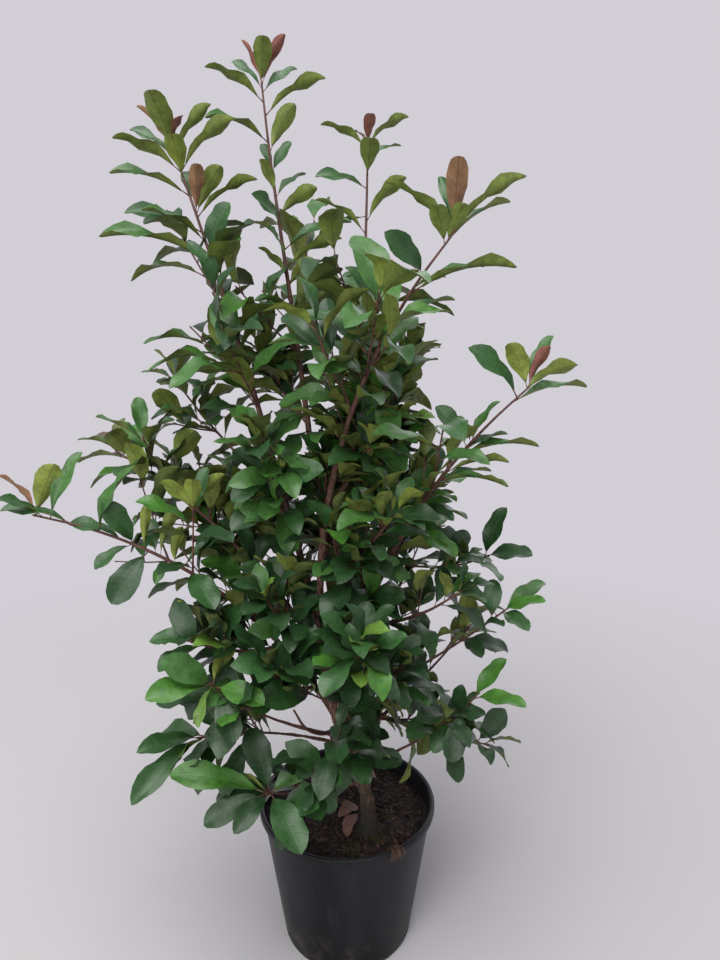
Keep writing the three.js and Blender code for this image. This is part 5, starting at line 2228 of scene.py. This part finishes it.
@dataclass
class Peat:
    """The peat and bark in the pot, with chips, shreds and moss on it, in millimetres.

    Each clod layer has its scale, its level in the noise and its share of the clods' height.
    """

    pot: NurseryPot
    top: float = 243
    drop: float = 5
    level: float = 102
    floor: float = 3.4
    clearance: float = 0.6
    rings: int = 46
    ring_spread: float = 0.9
    sides: int = 132
    clods: float = 3.2
    clod_layers: tuple[Triple, ...] = ((0.035, 3, 1.0), (0.13, 9, 0.6), (0.42, 5, 0.3))
    lift: float = 0.6
    inset: float = 9
    shred_inset: float = 6
    patch_rings: int = 12
    patch_sides: int = 48
    chip_seed: int = 900
    chip_corners: float = 0.6
    chip_shake: Pair = (0.75, 0.5)
    chip_bend: Pair = (0.05, 0.1)
    chip_size: Pair = (0.45, 1.35)
    turn_seed: int = 11
    size_seed: int = 12
    clumps: tuple[Triple, ...] = (
        *((10, -103, 17), (56, -78, 15), (22, -66, 13)),
        *((74, -20, 12), (-62, 58, 18), (20, 92, 15)),
    )
    peat: EarthFinish = EarthFinish("peat", (0.0045, 0.0028, 0.0024), (0.026, 0.013, 0.010), 130)
    chips: Litter = Litter(
        EarthFinish("bark_chip", (0.006, 0.0030, 0.0026), (0.042, 0.018, 0.014), 160),
        ((9, 5, 1.8), (13, 4, 1.6), (6, 5, 3), (16, 1.6, 1.1), (22, 0.9, 0.8)),
        24000,
        0.45,
    )
    shreds: Litter = Litter(
        EarthFinish("bark_shred", (0.012, 0.0065, 0.0055), (0.088, 0.043, 0.032), 90),
        ((20, 4, 1.4), (27, 3, 1.3), (15, 5.5, 1.8), (24, 2, 1.2), (12, 6.5, 2)),
        4200,
        0.6,
    )
    moss: Litter = Litter(
        EarthFinish("moss", (0.020, 0.026, 0.008), (0.085, 0.100, 0.024), 420),
        ((7, 0.9, 0.8), (9, 0.7, 0.6), (5, 1.4, 1.2)),
        260000,
        1.2,
    )

    def height(self, x: float, y: float) -> float:
        """Finds the height of the clumpy top.

        Args:
            x: the place across.
            y: the place along.

        Returns:
            The soil's height there.
        """
        edge = self.pot.inside(self.top)
        fall = self.drop * max(0.0, (math.hypot(x, y) - self.level) / (edge - self.level))
        rough = 0.0
        for scale, level, share in self.clod_layers:
            rough += noise.noise(Vector((x * scale, y * scale, level))) * self.clods * share
        return self.top - fall + rough

    def ring(self, x: float, y: float, out: float, sides: int, lift: float = 0) -> list:
        """Returns points of the soil's top, or above it, this far round a middle."""
        spots = [(x + out * right, y + out * ahead) for right, ahead in compass(sides)]
        return [(x * MM, y * MM, (self.height(x, y) + lift) * MM) for x, y in spots]

    def soil(self) -> Object:
        """Makes the soil as one closed mesh with a clumpy top.

        Returns:
            The soil.
        """
        edge, points = self.pot.inside(self.top) - self.clearance, self.ring(0, 0, 0, 1)
        for ring in range(1, self.rings + 1):
            points += self.ring(0, 0, edge * (ring / self.rings) ** self.ring_spread, self.sides)
        base = self.pot.inside(self.floor) - self.clearance
        points += [(base * MM * x, base * MM * y, self.floor * MM) for x, y in compass(self.sides)]
        rings = rings_of(points, self.sides, 1)
        faces = [*ring_faces([[0] * self.sides, *rings], inwards=True), tuple(reversed(rings[-1]))]
        mesh = plain_mesh("peat_soil", points, faces)
        return settle(dressed("peat_soil", mesh, self.peat.material()), "soil", "soil")

    def chip(self, name: str, draw: Draw, size: Triple, bent: float) -> Mesh:
        """Makes a rough chip.

        Args:
            name: the mesh's name.
            draw: gives random numbers.
            size: its length, width and thickness.
            bent: its bend, as a share of its length.

        Returns:
            The chip.
        """
        form, (low, span) = bmesh.new(), self.chip_shake
        bmesh.ops.create_icosphere(form, subdivisions=1, radius=0.5)
        for vertex in form.verts:
            square = Vector([math.copysign(abs(2 * c) ** self.chip_corners / 2, c) for c in vertex.co])
            x, y, z = [c * wide * (low + span * draw()) for c, wide in zip(square, size)]
            bend = bent * size[0] * (2 * x / size[0]) ** 2
            vertex.co = Vector((x, y + bend, z + bend)) * MM
        return formed(name, form)

    def patch(self, x: float, y: float, radius: float) -> tuple[list, list]:
        """Returns the points and faces of a round patch of the soil's top."""
        points = []
        for ring in range(self.patch_rings + 1):
            points += self.ring(x, y, radius * ring / self.patch_rings, self.patch_sides, self.lift)
        return points, ring_faces(rings_of(points, self.patch_sides), inwards=True)

    def scatter(self, name: str, litter: Litter, patches: tuple[Triple, ...]) -> Object:
        """Scatters chips over round patches of the soil.

        Args:
            name: the piece's name.
            litter: what is scattered.
            patches: each patch's middle and radius.

        Returns:
            The piece.
        """
        points, faces = [], []
        for patch in patches:
            more, loops = self.patch(*patch)
            faces += [tuple(corner + len(points) for corner in loop) for loop in loops]
            points += more
        tilt, chips = litter.tilt, []
        flat, by_tilt = self.chip_bend
        for number, size in enumerate(litter.sizes):
            draw = stream(self.chip_seed + number)
            chips.append(self.chip(f"{name}_{number}", draw, size, flat + by_tilt * tilt))
        store = shape_store(f"{name}_shapes", chips)
        build = Build(name)
        spread = {
            "Mesh": build.source,
            "Density": build.size("Density", "Float", litter.density),
            "Seed": build.size("Seed", "Int", len(name)),
        }
        spots = build.add("GeometryNodeDistributePointsOnFaces", spread).outputs["Points"]
        low, high = (-tilt, -tilt, 0), (tilt, tilt, math.tau)
        inputs = {
            "Rotation": build.rotation(build.random("FLOAT_VECTOR", low, high, self.turn_seed)),
            "Scale": build.random("FLOAT", *self.chip_size, self.size_seed),
        }
        cloud = build.instances(spots, store, inputs)
        made = build.finish(plain_mesh(name, points, faces), cloud, {None: litter.finish.material()})
        empty(store)
        return settle(made, "soil")

    def litter(self) -> None:
        """Covers the soil with chips and shreds, and with moss near the trunk."""
        edge = self.pot.inside(self.top) - self.inset
        self.scatter("bark_chips", self.chips, ((0, 0, edge),))
        self.scatter("bark_shreds", self.shreds, ((0, 0, edge - self.shred_inset),))
        self.scatter("moss", self.moss, self.clumps)


# ---- studio


@dataclass(frozen=True)
class Lamp:
    """A soft round light: its name, place, power in watts, width in metres and colour."""

    name: str
    place: Triple
    power: float
    size: float
    colour: Colour


@dataclass(frozen=True)
class Studio:
    """A pale floor, soft light and the camera."""

    sensor: float = 36
    sky: Colour = (0.645, 0.618, 0.672)
    sky_strength: float = 1.0
    floor_colour: Colour = (0.41, 0.405, 0.415)
    floor_rough: float = 0.8
    floor_sides: int = 96
    floor_clear: float = 0.9
    floor_edge: float = 2.2
    floor_drop: float = 0.0006
    crown: Triple = (0, 0, 0.8)
    lamps: tuple[Lamp, ...] = (
        Lamp("top_light", (-0.4, -0.9, 3.4), 114, 2.6, (1.0, 0.99, 0.97)),
        Lamp("front_light", (-1.3, -2.8, 1.5), 64, 2.4, (1.0, 0.99, 0.98)),
        Lamp("back_light", (1.2, 2.4, 2.2), 26, 2.4, (0.95, 0.97, 1.0)),
    )

    def camera(self) -> None:
        """Sets the camera."""
        lens = bpy.data.cameras.new("camera")
        lens.sensor_width = self.sensor
        lens.lens = VIEW.focal * self.sensor / VIEW.frame[1]
        eye = bpy.data.objects.new("camera", lens)
        eye.location = Vector(VIEW.place) / 1000
        eye.rotation_euler = Euler((math.radians(90 - VIEW.pitch), 0, 0))
        bpy.context.scene.collection.objects.link(eye)
        bpy.context.scene.camera = eye

    def floor(self) -> None:
        """Lays a pale floor that fades out round its edge."""
        form = bmesh.new()
        bmesh.ops.create_circle(form, cap_ends=True, segments=self.floor_sides, radius=self.floor_edge)
        bmesh.ops.translate(form, verts=form.verts, vec=(0, 0, -self.floor_drop))
        ground = piece("floor", formed("floor", form))
        skin = Surface("floor")
        out = skin.add("ShaderNodeVectorMath", {0: skin.own()}, operation="LENGTH").outputs["Value"]
        inputs = {"Color": (*self.floor_colour, 1), "Roughness": self.floor_rough}
        paint = skin.add("ShaderNodeBsdfDiffuse", inputs).outputs[0]
        clear = skin.add("ShaderNodeBsdfTransparent").outputs[0]
        fade = skin.ramp(out, self.floor_clear, self.floor_edge)
        mixed = skin.add("ShaderNodeMixShader", {0: fade, 1: paint, 2: clear}).outputs[0]
        skin.add("ShaderNodeOutputMaterial", {"Surface": mixed})
        ground.data.materials.append(skin.material)

    def hang(self, lamp: Lamp) -> None:
        """Hangs a light that faces the crown.

        Args:
            lamp: the light's place, size and power.
        """
        light = bpy.data.lights.new(lamp.name, "AREA")
        light.shape, light.size, light.energy, light.color = "DISK", lamp.size, lamp.power, lamp.colour
        made = bpy.data.objects.new(lamp.name, light)
        made.location = lamp.place
        way = Vector(self.crown) - Vector(lamp.place)
        made.rotation_euler = way.to_track_quat("-Z", "Y").to_euler()
        bpy.context.scene.collection.objects.link(made)

    def build(self) -> None:
        """Sets the camera, the floor and the lights."""
        self.camera()
        self.floor()
        world = bpy.data.worlds.new("studio")
        world.use_nodes = True
        recipe = Recipe(world.node_tree)
        inputs = {"Color": (*self.sky, 1), "Strength": self.sky_strength}
        sky = recipe.add("ShaderNodeBackground", inputs).outputs[0]
        recipe.add("ShaderNodeOutputWorld", {"Surface": sky})
        bpy.context.scene.world = world
        bpy.context.scene.view_settings.view_transform = "Standard"
        for lamp in self.lamps:
            self.hang(lamp)


def main() -> None:
    """Builds the studio, the pot and the plant."""
    logging.basicConfig(level=logging.INFO, format="%(name)s %(message)s")
    Studio().build()
    pot = NurseryPot()
    pot.build()
    peat = Peat(pot)
    peat.soil()
    peat.litter()
    plant = Plant()
    LOG.info("%d leaves, %d twigs", len(plant.leaves), sum(len(shoot.twigs) for shoot in plant.shoots))
    timber = Timber(plant)
    timber.trunk()
    timber.limbs()
    timber.twigs()
    timber.fibres()
    Foliage(plant).build()
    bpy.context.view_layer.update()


if __name__ == "__main__":
    main()
